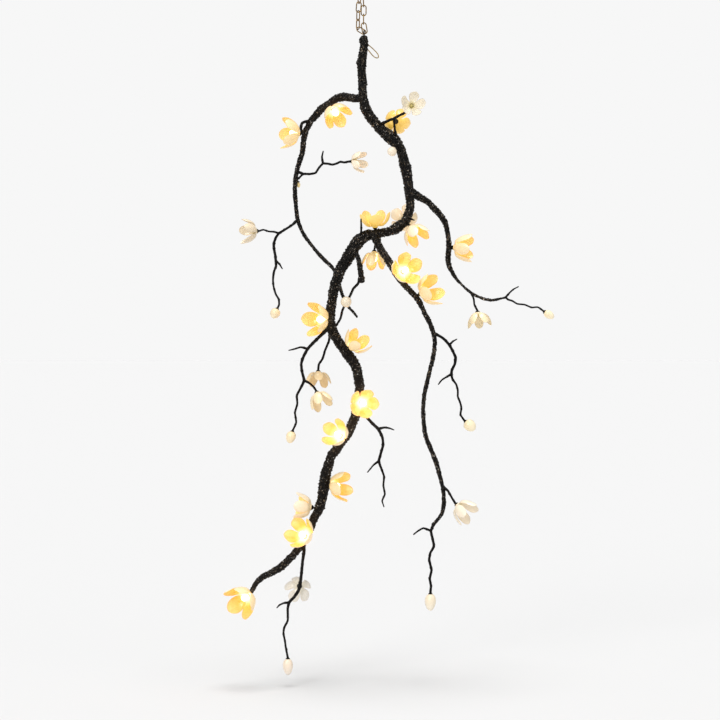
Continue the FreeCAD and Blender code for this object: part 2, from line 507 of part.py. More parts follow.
def link(top, bottom, turn):
    """One oval link from the top of its upper bend to the bottom of its lower bend, turned about its own length."""
    top, bottom = V(*top), V(*bottom)
    half, wire = size("link_half_width"), size("link_wire")
    along = top.sub(bottom)
    length = along.Length
    straight = length - 2 * half
    k = half
    h = length / 2
    s = math.sqrt(0.5) * k
    p = [V(k, 0, -h + k), V(k, 0, h - k), V(s, 0, h - k + s), V(0, 0, h), V(-s, 0, h - k + s), V(-k, 0, h - k),
         V(-k, 0, -h + k), V(-s, 0, -h + k - s), V(0, 0, -h), V(s, 0, -h + k - s)]
    path = Part.Wire([
        Part.LineSegment(p[0], p[1]).toShape(), Part.Arc(p[1], p[2], p[3]).toShape(), Part.Arc(p[3], p[4], p[5]).toShape(),
        Part.LineSegment(p[5], p[6]).toShape(), Part.Arc(p[6], p[7], p[8]).toShape(), Part.Arc(p[8], p[9], p[0]).toShape()])
    ring_wire = Part.Wire([Part.Circle(p[0], V(0, 0, 1), wire).toShape()])
    solid = path.makePipeShell([ring_wire], True, False)
    if solid.Volume < 0:
        solid.reverse()
    solid.rotate(V(0, 0, 0), V(0, 0, 1), turn)
    rot = FreeCAD.Rotation(V(0, 0, 1), along)
    solid.Placement = FreeCAD.Placement(top.add(bottom).multiply(0.5), rot).multiply(solid.Placement)
    return solid


def strand(ring_y, knots, turns, last, room=0.6):
    """Links from the ring down through the knots; the last link ends at the given point in the stem's eye."""
    wire = size("link_wire")
    ring_low = z_ring - math.sqrt(size("ring_radius") ** 2 - ring_y ** 2)
    low_point = V(RING_X, ring_y, ring_low)
    inward = V(RING_X, 0, z_ring).sub(low_point).normalize()
    top = low_point.add(inward.multiply(size("ring_wire") + wire + room))
    solids = []
    for i, turn in enumerate(turns):
        if i < len(knots):
            k = V(*knots[i])
            nxt = V(*knots[i + 1]) if i + 1 < len(knots) else V(*last)
            down = nxt.sub(k).normalize()
            here = k.sub(top).normalize()
            low = k.add(here.multiply(wire + 0.6))
            solids.append(link(tuple(top), tuple(low), turn))
            top = k.sub(down.multiply(wire + 0.6))
        else:
            solids.append(link(tuple(top), last, turn))
    return solids


right_links = strand(2.0, [
    (-0.5, 2, -102.1), (0.8, 2, -124.8), (0.5, 2, -147.6), (0.3, 2.1, -170.3),
], [0, 90, 0, 90, 0], (4.6, 2.3, -196.4))
left_links = strand(-8.5, [
    (-8.8, -8.4, -95.7), (-11.2, -7.2, -117.5), (-13.3, -6, -140.1), (-13.8, -4.6, -162), (-14.6, -3.2, -184.1),
], [0, -58, 20, 125, 55, -30], (5.4, -2.3, -195.9), 1.6)

# ---------------------------------------------------------------- limbs and twigs


def sections(points):
    """Circles square to the centre line, mitred at each bend."""
    pts = [V(*p[:3]) for p in points]
    rings = []
    for i, p in enumerate(pts):
        if i == 0:
            n = pts[1].sub(p)
        elif i == len(pts) - 1:
            n = p.sub(pts[i - 1])
        else:
            n = p.sub(pts[i - 1]).normalize().add(pts[i + 1].sub(p).normalize())
        rings.append((p, n.normalize(), points[i][3]))
    return rings


def rod(points, share=1.0, most=None, ends=None):
    """A round rod along the points, through mitred circles of the points' own radii."""
    wires = []
    rings = sections(points)
    # the first circle's own X direction is carried along the line, so that the rod never twists
    n0 = rings[0][1]
    x = V(0, 1, 0).cross(n0)
    if x.Length < 0.2:
        x = V(1, 0, 0).cross(n0)
    x.normalize()
    for i, (p, n, r) in enumerate(rings):
        if ends and i == 0:
            n = V(*ends[0]) if ends[0] else n
        if ends and i == len(rings) - 1:
            n = V(*ends[1]) if ends[1] else n
        x = x.sub(V(n).multiply(x.dot(n)))
        x.normalize()
        r = r * share
        if most is not None:
            r = min(r, most)
        c = Part.Circle()
        c.Center = p
        c.Axis = n
        c.Radius = r
        y = n.cross(x)
        m = FreeCAD.Matrix(x.x, y.x, n.x, p.x, x.y, y.y, n.y, p.y, x.z, y.z, n.z, p.z, 0, 0, 0, 1)
        ring_c = Part.Circle(V(0, 0, 0), V(0, 0, 1), r).toShape()
        ring_c.Placement = FreeCAD.Placement(m)
        wires.append(Part.Wire([ring_c]))
    solid = Part.makeLoft(wires, True, True)
    if solid.Volume < 0:
        solid.reverse()
    return solid


def biggest(shape):
    solids = sorted(shape.Solids, key=lambda q: q.Volume, reverse=True)
    return solids[0]


def mitre(a, b):
    """The plane that two limbs share where one runs on into the other."""
    u = V(*a[-1][:3]).sub(V(*a[-2][:3])).normalize()
    w = V(*b[1][:3]).sub(V(*b[0][:3])).normalize()
    return tuple(u.add(w).normalize())


CHAINED = [("stem", "right_arm"), ("right_arm", "middle_trunk"), ("middle_trunk", "lower_trunk"),
           ("lower_trunk", "trunk_end")]
ends = {k: [None, None] for k in LIMBS}
ends["stem"][0] = (0, 0, -1)
for a, b in CHAINED:
    m = mitre(LIMBS[a], LIMBS[b])
    ends[a][1] = m
    ends[b][0] = m

share, most = size("bore_share"), size("bore_most")
solid_rods = {k: rod(v, ends=ends[k]) for k, v in LIMBS.items()}
bores = {}
for k, v in LIMBS.items():
    if k == "stub_branch":
        continue
    # the bore stops short of a limb's blind tip
    line = v if k in ("stem", "right_arm", "middle_trunk", "lower_trunk") else v[:-2]
    bores[k] = rod(line, share, most, ends=(ends[k][0], ends[k][1] if line is v else None))

PARENT = {"left_arm": ("stem", "right_arm"), "right_branch": ("right_arm", "middle_trunk"),
          "lower_right_branch": ("middle_trunk",), "stub_branch": ("middle_trunk", "lower_trunk")}
outer = dict(solid_rods)
for k, parents in PARENT.items():
    s = solid_rods[k]
    for p in parents:
        s = s.cut(solid_rods[p])
    outer[k] = biggest(s)
limb = {}
for k, s in outer.items():
    if k in bores:
        s = s.cut(bores[k])
    limb[k] = biggest(s)
# cross drillings, so that the wiring of a side limb reaches the bore of the limb that carries it
for k, p in (("left_arm", "stem"), ("left_arm", "right_arm"), ("right_branch", "right_arm"),
             ("right_branch", "middle_trunk"), ("lower_right_branch", "middle_trunk")):
    limb[p] = biggest(limb[p].cut(bores[k]))

# wiring: one bundle in each bore, 0.6 mm short of the next at every joint
bundles = []
for k, v in LIMBS.items():
    if k == "stub_branch":
        continue
    line = [list(p) for p in (v if k in ("stem", "right_arm", "middle_trunk", "lower_trunk") else v[:-2])]
    first, second = V(*line[0][:3]), V(*line[1][:3])
    skip = 22.0 if k == "stem" else (1.0 if k in ("right_arm", "middle_trunk", "lower_trunk", "trunk_end") else 7.0)
    d = second.sub(first)
    q = first.add(d.normalize().multiply(min(skip, second.sub(first).Length * 0.6)))
    if k == "stem":
        line = line[2:]
    else:
        line[0][:3] = [q.x, q.y, q.z]
    last, prev = V(*line[-1][:3]), V(*line[-2][:3])
    back = prev.sub(last).normalize().multiply(1.0)
    e = last.add(back)
    line[-1][:3] = [e.x, e.y, e.z]
    small = [(p[0], p[1], p[2], min(p[3] * share, most) * size("harness_share")) for p in line]
    bundles.append(rod(small))

# ---------------------------------------------------------------- the gold lead's loop behind the stem
LEAD = [
    (1.1, 20.5, -214), (1.1, 27, -214), (5.8, 33, -215.3), (14.7, 36, -221.4),
    (24.7, 35, -229.9), (33.6, 33, -238.9), (39.8, 34, -247.3), (39.4, 39, -253.6),
    (32.6, 45, -252.9), (24.8, 49, -246.5), (17.9, 49, -238.1), (11.9, 44, -231.1),
    (6.3, 36, -227.9), (2.1, 28, -228.6), (2.1, 20.5, -228.6),
]


def lead_path(points):
    """Straight runs joined by tangent arcs, each arc 0.45 of its shorter run long on either side."""
    pts = [V(*p) for p in points]
    edges = []
    start = pts[0]
    length = 0.0
    radii = []
    for i in range(1, len(pts) - 1):
        a, b = pts[i - 1].sub(pts[i]), pts[i + 1].sub(pts[i])
        run = min(a.Length, b.Length) * 0.45
        a.normalize()
        b.normalize()
        turn = math.pi - math.acos(max(-1, min(1, a.dot(b))))
        radius = run / math.tan(turn / 2)
        radii.append((round(radius, 1), round(math.degrees(turn))))
        p1 = pts[i].add(V(a).multiply(run))
        p2 = pts[i].add(V(b).multiply(run))
        bis = a.add(b).normalize()
        centre = pts[i].add(V(bis).multiply(radius / math.cos(turn / 2)))
        mid = centre.sub(V(bis).multiply(radius))
        edges.append(Part.LineSegment(start, p1).toShape())
        edges.append(Part.Arc(p1, mid, p2).toShape())
        start = p2
    edges.append(Part.LineSegment(start, pts[-1]).toShape())
    wire = Part.Wire(edges)
    return wire, wire.Length, radii


path, lead_length, radii = lead_path(LEAD)
print("lead length", round(lead_length, 2), "arc radii and turns", radii)
d0 = V(*LEAD[1]).sub(V(*LEAD[0])).normalize()
section = Part.Wire([Part.Circle(V(*LEAD[0]), d0, size("lead_radius")).toShape()])
lead = path.makePipeShell([section], True, True)
if lead.Volume < 0:
    lead.reverse()
expected = math.pi * size("lead_radius") ** 2 * lead_length
print("lead volume", round(lead.Volume, 1), "expected", round(expected, 1))
assert abs(lead.Volume - expected) < 0.02 * expected
feature("lead_loop", lead)

# two cable glands in the stem's back wall, each with a nose round the lead
for name, end, sign in (("upper_gland", LEAD[0], 1), ("lower_gland", LEAD[-1], 1)):
    g = revolve_body(name, [
        ([0], [0]), (["gland_nose"], [0]), (["gland_nose"], [3]), (["gland_flange"], [3]),
        (["gland_flange"], [6.5]), ([("lead_radius", 1), 1.2], [10.5]), ([0], [10.5]),
    ], FreeCAD.Placement(V(end[0], end[1] - 10.5, end[2]), FreeCAD.Rotation(V(1, 0, 0), -90)))
doc.recompute()
for name in ("upper_gland", "lower_gland"):
    limb["stem"] = biggest(limb["stem"].cut(nodes[name].Shape))

# eye on the stem's top
eye_z = LIMBS["stem"][0][2] + size("eye_radius") + size("eye_wire") - 0.2
eye_x = LIMBS["stem"][0][0]
ring_e = doc.addObject("Part::Torus", "eye_ring")
ring_e.setExpression("Radius1", "Sizes.eye_radius")
ring_e.setExpression("Radius2", "Sizes.eye_wire")
ring_e.Placement = FreeCAD.Placement(V(eye_x, 0, eye_z), FreeCAD.Rotation(V(0, 1, 0), 90))
collar = doc.addObject("Part::Cylinder", "eye_collar_disc")
collar.setExpression("Radius", "Sizes.eye_collar")
collar.Height = 1.8
collar.Placement = FreeCAD.Placement(V(eye_x, 0, LIMBS["stem"][0][2]), FreeCAD.Rotation())
shank = doc.addObject("Part::Cylinder", "eye_shank_rod")
shank.setExpression("Radius", "Sizes.eye_shank")
shank.setExpression("Height", "Sizes.eye_shank_length")
shank.Placement = FreeCAD.Placement(V(eye_x, 0, LIMBS["stem"][0][2] - size("eye_shank_length")), FreeCAD.Rotation())
eye_all = doc.addObject("Part::MultiFuse", "stem_eye")
eye_all.Shapes = [ring_e, collar, shank]
doc.recompute()
keep("stem_eye", eye_all)
eye_cut = Part.makeCylinder(size("eye_shank"), size("eye_shank_length"), V(eye_x, 0, LIMBS["stem"][0][2] - size("eye_shank_length")))
limb["stem"] = biggest(limb["stem"].cut(eye_cut))

# ---------------------------------------------------------------- twigs
twig = {}
for name, runs in TWIGS.items():
    parts = []
    for carrier, line in runs:
        s = rod(line)
        if carrier.startswith("+"):
            host = int(carrier[1:])
            joined = parts[host].fuse(s)
            parts[host] = biggest(joined)
            parts.append(None)
        else:
            parts.append(s)
    whole = []
    for s in parts:
        if s is None:
            continue
        for limb_name, host in solid_rods.items():
            if s.BoundBox.intersect(host.BoundBox) and s.common(host).Volume > 1e-6:
                s = biggest(s.cut(host))
        whole.append(s)
    twig[name] = whole

# ---------------------------------------------------------------- flowers, buds, cups, lamps


def turned(points):
    """A solid of revolution about Z from a closed profile in the XZ plane."""
    face = Part.Face(Part.makePolygon([V(r, 0, z) for r, z in points] + [V(points[0][0], 0, points[0][1])]))
    s = face.revolve(V(0, 0, 0), V(0, 0, 1), 360)
    if s.Volume < 0:
        s.reverse()
    return s


def frame(base, axis):
    return FreeCAD.Placement(V(*base), FreeCAD.Rotation(V(0, 0, 1), V(*axis)))


PROFILE = [(0.0, 0.0, 0.0), (0.25, 0.38, 0.10), (0.5, 0.72, 0.34), (0.75, 0.93, 0.66), (1.0, 1.0, 1.0)]


def profile(t, radius, height):
    """The petal's line from its foot to its tip, at t from 0 to 1."""
    r0, z0 = size("petal_start_radius"), size("petal_start_height")
    for (t0, a0, b0), (t1, a1, b1) in zip(PROFILE, PROFILE[1:]):
        if t <= t1 + 1e-9:
            k = (t - t0) / (t1 - t0)
            a, b = a0 + k * (a1 - a0), b0 + k * (b1 - b0)
            break
    return r0 + a * (radius - r0), z0 + b * (height - z0)


def petal(radius, height, turn, wide=1.0):
    """A thin closed cup-shaped petal, lofted through ribs that each lie in a plane through the flower's axis."""
    gauge = size("petal_gauge")
    ribs = []
    for angle, t_low, t_high, thick in ((-31, 0.42, 0.66, 0.7), (-21, 0.16, 0.86, 0.9), (-8, 0.02, 0.97, 1),
                                        (8, 0.02, 0.97, 1), (21, 0.16, 0.86, 0.9), (31, 0.42, 0.66, 0.7)):
        phi = math.radians(angle * wide + turn)
        inner, outside = [], []
        n = 5
        for i in range(n):
            t = t_low + (t_high - t_low) * i / (n - 1)
            r, z = profile(t, radius, height)
            ra, za = profile(max(0, t - 0.05), radius, height)
            rb, zb = profile(min(1, t + 0.05), radius, height)
            dx, dz = rb - ra, zb - za
            m = math.hypot(dx, dz)
            nx, nz = dz / m, -dx / m
            g = gauge * thick * (1 - 0.35 * i / (n - 1))
            inner.append(V(r * math.cos(phi), r * math.sin(phi), z))
            outside.append(V((r + nx * g) * math.cos(phi), (r + nx * g) * math.sin(phi), z + nz * g))
        e1 = Part.BSplineCurve()
        e1.interpolate(inner)
        e2 = Part.BSplineCurve()
        e2.interpolate(list(reversed(outside)))
        ribs.append(Part.Wire([e1.toShape(), Part.LineSegment(inner[-1], outside[-1]).toShape(), e2.toShape(),
                               Part.LineSegment(outside[0], inner[0]).toShape()]))
    s = Part.makeLoft(ribs, True, False)
    if s.Volume < 0:
        s.reverse()
    return s


cup_r, cup_h = size("cup_radius"), size("cup_height")
cup_shape = turned([(0, 0), (2.7, 0), (cup_r * 0.86, cup_h * 0.5), (cup_r, cup_h), (cup_r - 1.1, cup_h),
                    (cup_r * 0.86 - 1.3, cup_h * 0.58), (2.4, 3), (0, 3)])
saucer_shape = turned([(0, 0), (2.6, 0), (5.3, 2.2), (5.6, 3.3), (4.8, 3.3), (4.4, 2.8), (2.2, 1.8), (0, 1.8)])
z_h = 3.0
holder_shape = turned([(0, z_h), (2.3, z_h), (size("holder_radius"), z_h + 2.2), (size("holder_radius"), z_h + size("holder_height")),
                       (0, z_h + size("holder_height"))])
lr = size("lamp_radius")
z_l = z_h + size("holder_height")
z_c = z_l + size("lamp_height") - lr
lamp_pts = [(0, z_l), (3.4, z_l), (3.7, z_c - lr)] + [
    (lr * math.sin(a), z_c + lr * math.cos(a)) for a in [math.pi * (0.80 - 0.08 * i) for i in range(10)]] + [(0, z_c + lr)]
lamp_shape = turned(lamp_pts)


def ovoid(radius, length):
    pts = [(0, 3.0)]
    for i in range(1, 12):
        t = i / 12
        pts.append((radius * math.sin(math.pi * t ** 0.86), 3.0 + (length - 3.0) * (0.5 - 0.5 * math.cos(math.pi * t))))
    pts.append((0, length))
    curve = Part.BSplineCurve()
    curve.interpolate([V(r, 0, z) for r, z in pts])
    face = Part.Face(Part.Wire([curve.toShape(), Part.LineSegment(V(0, 0, length), V(0, 0, 3.0)).toShape()]))
    s = face.revolve(V(0, 0, 0), V(0, 0, 1), 360)
    if s.Volume < 0:
        s.reverse()
    return s


def nearest(base):
    """The nearest point of any limb's or twig's centre line: its distance to the surface, the point, the radius."""
    p = V(*base)
    best = None
    for line in list(LIMBS.values()) + [line for runs in TWIGS.values() for _c, line in runs]:
        for a, b in zip(line, line[1:]):
            va, vb = V(*a[:3]), V(*b[:3])
            ab = vb.sub(va)
            k = max(0, min(1, p.sub(va).dot(ab) / ab.dot(ab)))
            q = va.add(V(ab).multiply(k))
            r = a[3] + k * (b[3] - a[3])
            gap = p.sub(q).Length - r
            if best is None or gap < best[0]:
                best = (gap, q, r)
    return best


carriers = list(solid_rods.values()) + [s for group in twig.values() for s in group]


def trimmed(solid, others):
    for o in others:
        if solid.BoundBox.intersect(o.BoundBox) and solid.common(o).Volume > 1e-7:
            solid = biggest(solid.cut(o))
    return solid


cups = []
lamps = []
holders = []
flower_solids = {}
for number, (name, base, axis, radius, height, lit) in enumerate(FLOWERS):
    place = frame(base, axis)
    cup = cup_shape.copy()
    cup.Placement = place
    gap, q, r = nearest(base)
    if gap > -1.0:
        away = V(*base).sub(q)
        if away.Length > 2.0:
            stalk = Part.makeCone(size("pedicel_radius") * 1.1, 2.6, away.Length, q, away)
            knob = Part.makeSphere(2.7, V(*base))
            cup = biggest(cup.fuse(stalk).fuse(knob))
            inside = turned([(0, 3), (2.4, 3), (cup_r * 0.86 - 1.3, cup_h * 0.58), (cup_r - 1.1, cup_h), (0, cup_h)])
            inside.Placement = place
            cup = biggest(cup.cut(inside))
    cups.append(trimmed(cup, carriers))
    turn = (number * 37) % 72
    petals = []
    for i in range(5):
        s = petal(radius, height, turn + 72 * i)
        s.Placement = place
        petals.append(s)
    flower_solids[name] = petals
    if lit:
        for shape, group in ((holder_shape, holders), (lamp_shape, lamps)):
            s = shape.copy()
            s.Placement = place
            group.append(s)
buds = []
for name, base, axis, radius, length in BUDS:
    place = frame(base, axis)
    s = ovoid(radius, length)
    s.Placement = place
    buds.append(s)
    cup = saucer_shape.copy()
    cup.Placement = place
    gap, q, r = nearest(base)
    away = V(*base).sub(q)
    if gap > -1.0 and away.Length > 2.0:
        stalk = Part.makeCone(size("pedicel_radius"), 2.4, away.Length, q, away)
        cup = biggest(cup.fuse(stalk))
    cups.append(trimmed(cup, carriers))

# ---------------------------------------------------------------- every piece as an object of the document
for k, s in limb.items():
    feature(k, s)
for name, parts in twig.items():
    feature(name, parts[0] if len(parts) == 1 else Part.makeCompound(parts))
GROUPED = {
    "unlit_flowers_upper": ["unlit_gg", "unlit_l1", "unlit_m"],
    "unlit_flowers_right": ["unlit_pendant", "unlit_l"],
    "unlit_flowers_lower": ["unlit_u", "unlit_s", "unlit_ff"],
}
done = set()
for group, members in GROUPED.items():
    feature(group, Part.makeCompound([s for m in members for s in flower_solids[m]]))
    done.update(members)
for name, petals in flower_solids.items():
    if name not in done:
        feature(name, Part.makeCompound(petals))
feature("flower_buds", Part.makeCompound(buds))
feature("calyx_cups", Part.makeCompound(cups))
feature("lamp_holders", Part.makeCompound(holders))
feature("led_lamps", Part.makeCompound(lamps))
feature("wiring_harness", Part.makeCompound(bundles))
feature("chain_left_strand", Part.makeCompound(left_links))
feature("chain_right_strand", Part.makeCompound(right_links))

doc.recompute()
for obj in doc.Objects:
    bad = [s for s in obj.State if s in ("Invalid", "Error")]
    assert not bad, (obj.Name, obj.State)
os.makedirs("parts", exist_ok=True)
problems = []
for name, obj in nodes.items():
    shape = obj.Shape
    if shape.isNull() or not shape.isValid() or not shape.Solids or min(s.Volume for s in shape.Solids) <= 0:
        problems.append(name)
assert not problems, problems
assert len(nodes) <= 60, len(nodes)
for name, obj in nodes.items():
    obj.Shape.exportStep("parts/%s.step" % name)
print(len(nodes), "pieces written")
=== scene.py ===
import math

import bpy
import numpy as np
from mathutils import Matrix, Vector


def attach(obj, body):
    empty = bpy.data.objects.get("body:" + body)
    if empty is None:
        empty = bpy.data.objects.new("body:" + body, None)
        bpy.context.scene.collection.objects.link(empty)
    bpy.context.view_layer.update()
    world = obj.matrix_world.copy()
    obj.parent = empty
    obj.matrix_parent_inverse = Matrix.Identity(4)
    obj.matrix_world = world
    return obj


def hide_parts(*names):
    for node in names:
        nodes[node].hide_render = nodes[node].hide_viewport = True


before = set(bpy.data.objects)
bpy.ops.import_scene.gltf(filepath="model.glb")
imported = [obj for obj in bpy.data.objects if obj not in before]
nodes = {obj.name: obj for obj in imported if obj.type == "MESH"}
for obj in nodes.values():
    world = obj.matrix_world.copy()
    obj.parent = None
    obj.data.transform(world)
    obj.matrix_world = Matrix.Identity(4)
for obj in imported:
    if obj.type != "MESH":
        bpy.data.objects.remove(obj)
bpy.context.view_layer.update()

MM = 0.001
scene = bpy.context.scene
rng = np.random.RandomState(20261)

# ---------------------------------------------------------------- the branch's own dimensions, in millimetres
LIMBS = {
    "stem": [
        (1.6, 0, -205.7, 8.6), (1.4, 0, -216.3, 10.1), (0.5, 0, -234, 10), (-2.1, 0, -252.2, 10.9),
        (-3.9, 0, -275.6, 11.2), (-3.4, 0, -301.6, 10.4), (-2.1, 0, -319.8, 11.3), (-2.1, 0, -343.2, 11.1),
        (0, 0, -366.6, 11.7),
    ],
    "right_arm": [
        (0, 0, -366.6, 11.7), (4.2, -3, -385.2, 12.2), (13.5, -6, -406.4, 12.6), (30.6, -12, -431, 12.7),
        (48.2, -18, -450.6, 13.7), (66.2, -24, -466.9, 14.7), (83.2, -26, -483.9, 13.7), (95.7, -24, -501.8, 11.9),
        (103, -20, -523.4, 12.2), (110.4, -14, -548.7, 13.5), (115.2, -8, -577.9, 12.2), (119.8, -2, -608.6, 12),
    ],
    "middle_trunk": [
        (119.8, -2, -608.6, 12), (121.6, -4, -637.3, 10.9), (117.7, -12, -665.2, 11.4), (104.5, -24, -689.4, 11.9),
        (81.5, -36, -706.5, 12.4), (53, -46, -716.5, 11.5), (27.7, -52, -721.5, 11.8), (6.6, -55, -726.9, 13.9),
        (-12.4, -54, -739.7, 15.4), (-27.9, -50, -760.3, 15.4),
    ],
    "lower_trunk": [
        (-27.9, -50, -760.3, 15.4), (-41.3, -44, -783.6, 14.9), (-57.4, -36, -810.3, 14.2), (-69.4, -26, -839.3, 12.9),
        (-77.8, -14, -868.9, 12.4), (-82.7, -2, -898.4, 11.8), (-86.4, 8, -926.7, 12.2), (-85.5, 16, -952.6, 13),
        (-76.7, 22, -977.8, 13.1), (-60.6, 26, -1003.4, 12.8), (-41.8, 26, -1028.5, 13.3), (-24.5, 22, -1054.6, 12.8),
        (-14.3, 14, -1083.8, 12.5), (-9.9, 4, -1115.5, 12), (-10.4, -8, -1149, 11.7), (-18.7, -18, -1183, 11.4),
        (-30.6, -26, -1214.9, 11.6), (-46.6, -30, -1244.2, 11.9), (-64.7, -28, -1269.1, 11.6), (-80.8, -22, -1291.1, 11.6),
        (-91, -14, -1317.4, 12.2), (-98.7, -4, -1346.6, 13.2), (-103.1, 6, -1375.8, 13),
    ],
    "trunk_end": [
        (-103.1, 6, -1375.8, 13), (-107.4, 16, -1405.1, 12.5), (-116.2, 24, -1433.4, 11.6), (-129.7, 30, -1461.1, 11),
        (-141.8, 32, -1491.3, 10.5), (-159.4, 26, -1525, 9.7), (-179.5, 18, -1550.4, 9.4), (-199.5, 8, -1570.2, 9.4),
        (-219.3, -4, -1586.1, 9.4), (-240.1, -14, -1597.4, 8.6), (-260.3, -24, -1606.7, 7.8), (-276, -32, -1620.3, 6.7),
        (-291.6, -39, -1644.2, 5.7),
    ],
    "left_arm": [
        (0, 0, -366.6, 9.6), (-25.5, 6, -363.7, 9.6), (-48.5, 12, -359.8, 10.2), (-69.9, 18, -362.6, 10.3),
        (-88.5, 24, -375.9, 10.4), (-109.3, 32, -388.9, 9.7), (-125.7, 40, -405.2, 8.9), (-139.6, 48, -421.5, 8.5),
        (-151.3, 56, -442.1, 8.3), (-156.6, 64, -465.9, 7.6), (-160.2, 72, -494, 7.1), (-167.6, 80, -519.5, 6.6),
        (-176, 86, -546.7, 6.1), (-180.6, 90, -578, 5.7), (-180.9, 92, -608.3, 5.6), (-178.3, 92, -640.1, 5.6),
        (-173.2, 90, -673.6, 5.6), (-163.3, 86, -701.9, 5), (-145.1, 80, -731.4, 4.6), (-122.8, 72, -759.3, 4.7),
        (-100, 64, -784, 4.7), (-78.2, 56, -807, 4.7), (-66.6, 48, -832.6, 4.6), (-60.2, 42, -857.5, 4.5),
        (-52.8, 36, -880.2, 4.2), (-40.5, 32, -904.4, 3.9), (-25.6, 28, -920.7, 3.5), (-16.4, 26, -933.1, 2.9),
    ],
    "right_branch": [
        (119.8, -2, -608.6, 10.7), (131.3, 8, -612.4, 10.7), (148.3, 20, -621.8, 9.1), (168, 32, -631.2, 8.4),
        (184.4, 42, -647.2, 8.1), (200.8, 52, -663.8, 8.4), (214, 60, -682.6, 7.1), (220.3, 66, -705.4, 6.6),
        (224.5, 70, -729.4, 6.7), (225.6, 72, -753.5, 7.3), (223, 72, -775.7, 7), (226.3, 70, -797.4, 6.1),
        (235.7, 68, -817, 5.1), (244.6, 66, -831.3, 4.3), (259.6, 62, -847.3, 3), (283, 56, -868.5, 3.7),
        (301, 50, -878.7, 3.8), (319, 44, -885.7, 3.9), (337, 38, -888.5, 3.5), (354.9, 32, -885.6, 3.1),
        (371.8, 28, -881.5, 2.7),
    ],
    "lower_right_branch": [
        (27.7, -52, -721.5, 9.5), (34.3, -62, -739.6, 9.9), (43.4, -74, -760.4, 9.7), (55.6, -84, -779.3, 9.5),
        (67.7, -92, -798.2, 9.2), (80.4, -98, -820.9, 8.7), (101.2, -102, -849.6, 8.2), (119.5, -102, -869.5, 7.6),
        (134.9, -100, -887.2, 6.9), (146.5, -96, -905.5, 6.4), (156.6, -90, -925.2, 6.1), (167.6, -82, -947, 6.1),
        (177.6, -74, -969.9, 6), (183.2, -62, -1002.1, 5.6), (180.1, -50, -1035.9, 5.5), (172.3, -38, -1068.4, 5.4),
        (165, -26, -1101.6, 5.4), (158.1, -14, -1136.2, 5.2), (155.3, -4, -1172.5, 5.1), (157.2, 4, -1208.1, 5.2),
        (162.6, 10, -1243.7, 5.5), (176.3, 14, -1278.3, 5.7), (188.6, 16, -1309.2, 6.1), (197.7, 16, -1339.9, 5.5),
        (205.5, 14, -1371.6, 5), (209, 12, -1397, 5.1), (209.5, 10, -1421.1, 5.3), (205.2, 8, -1442.6, 4.7),
        (193.2, 6, -1461.2, 4.2), (180.1, 4, -1474, 3.8),
    ],
    "stub_branch": [
        (-27.9, -50, -760.3, 7.7), (-17.6, -64, -774.2, 5.6), (-11.4, -72, -793.6, 6.3), (-7.8, -78, -816.9, 6.9),
        (-4, -82, -844.7, 7.2),
    ],
}

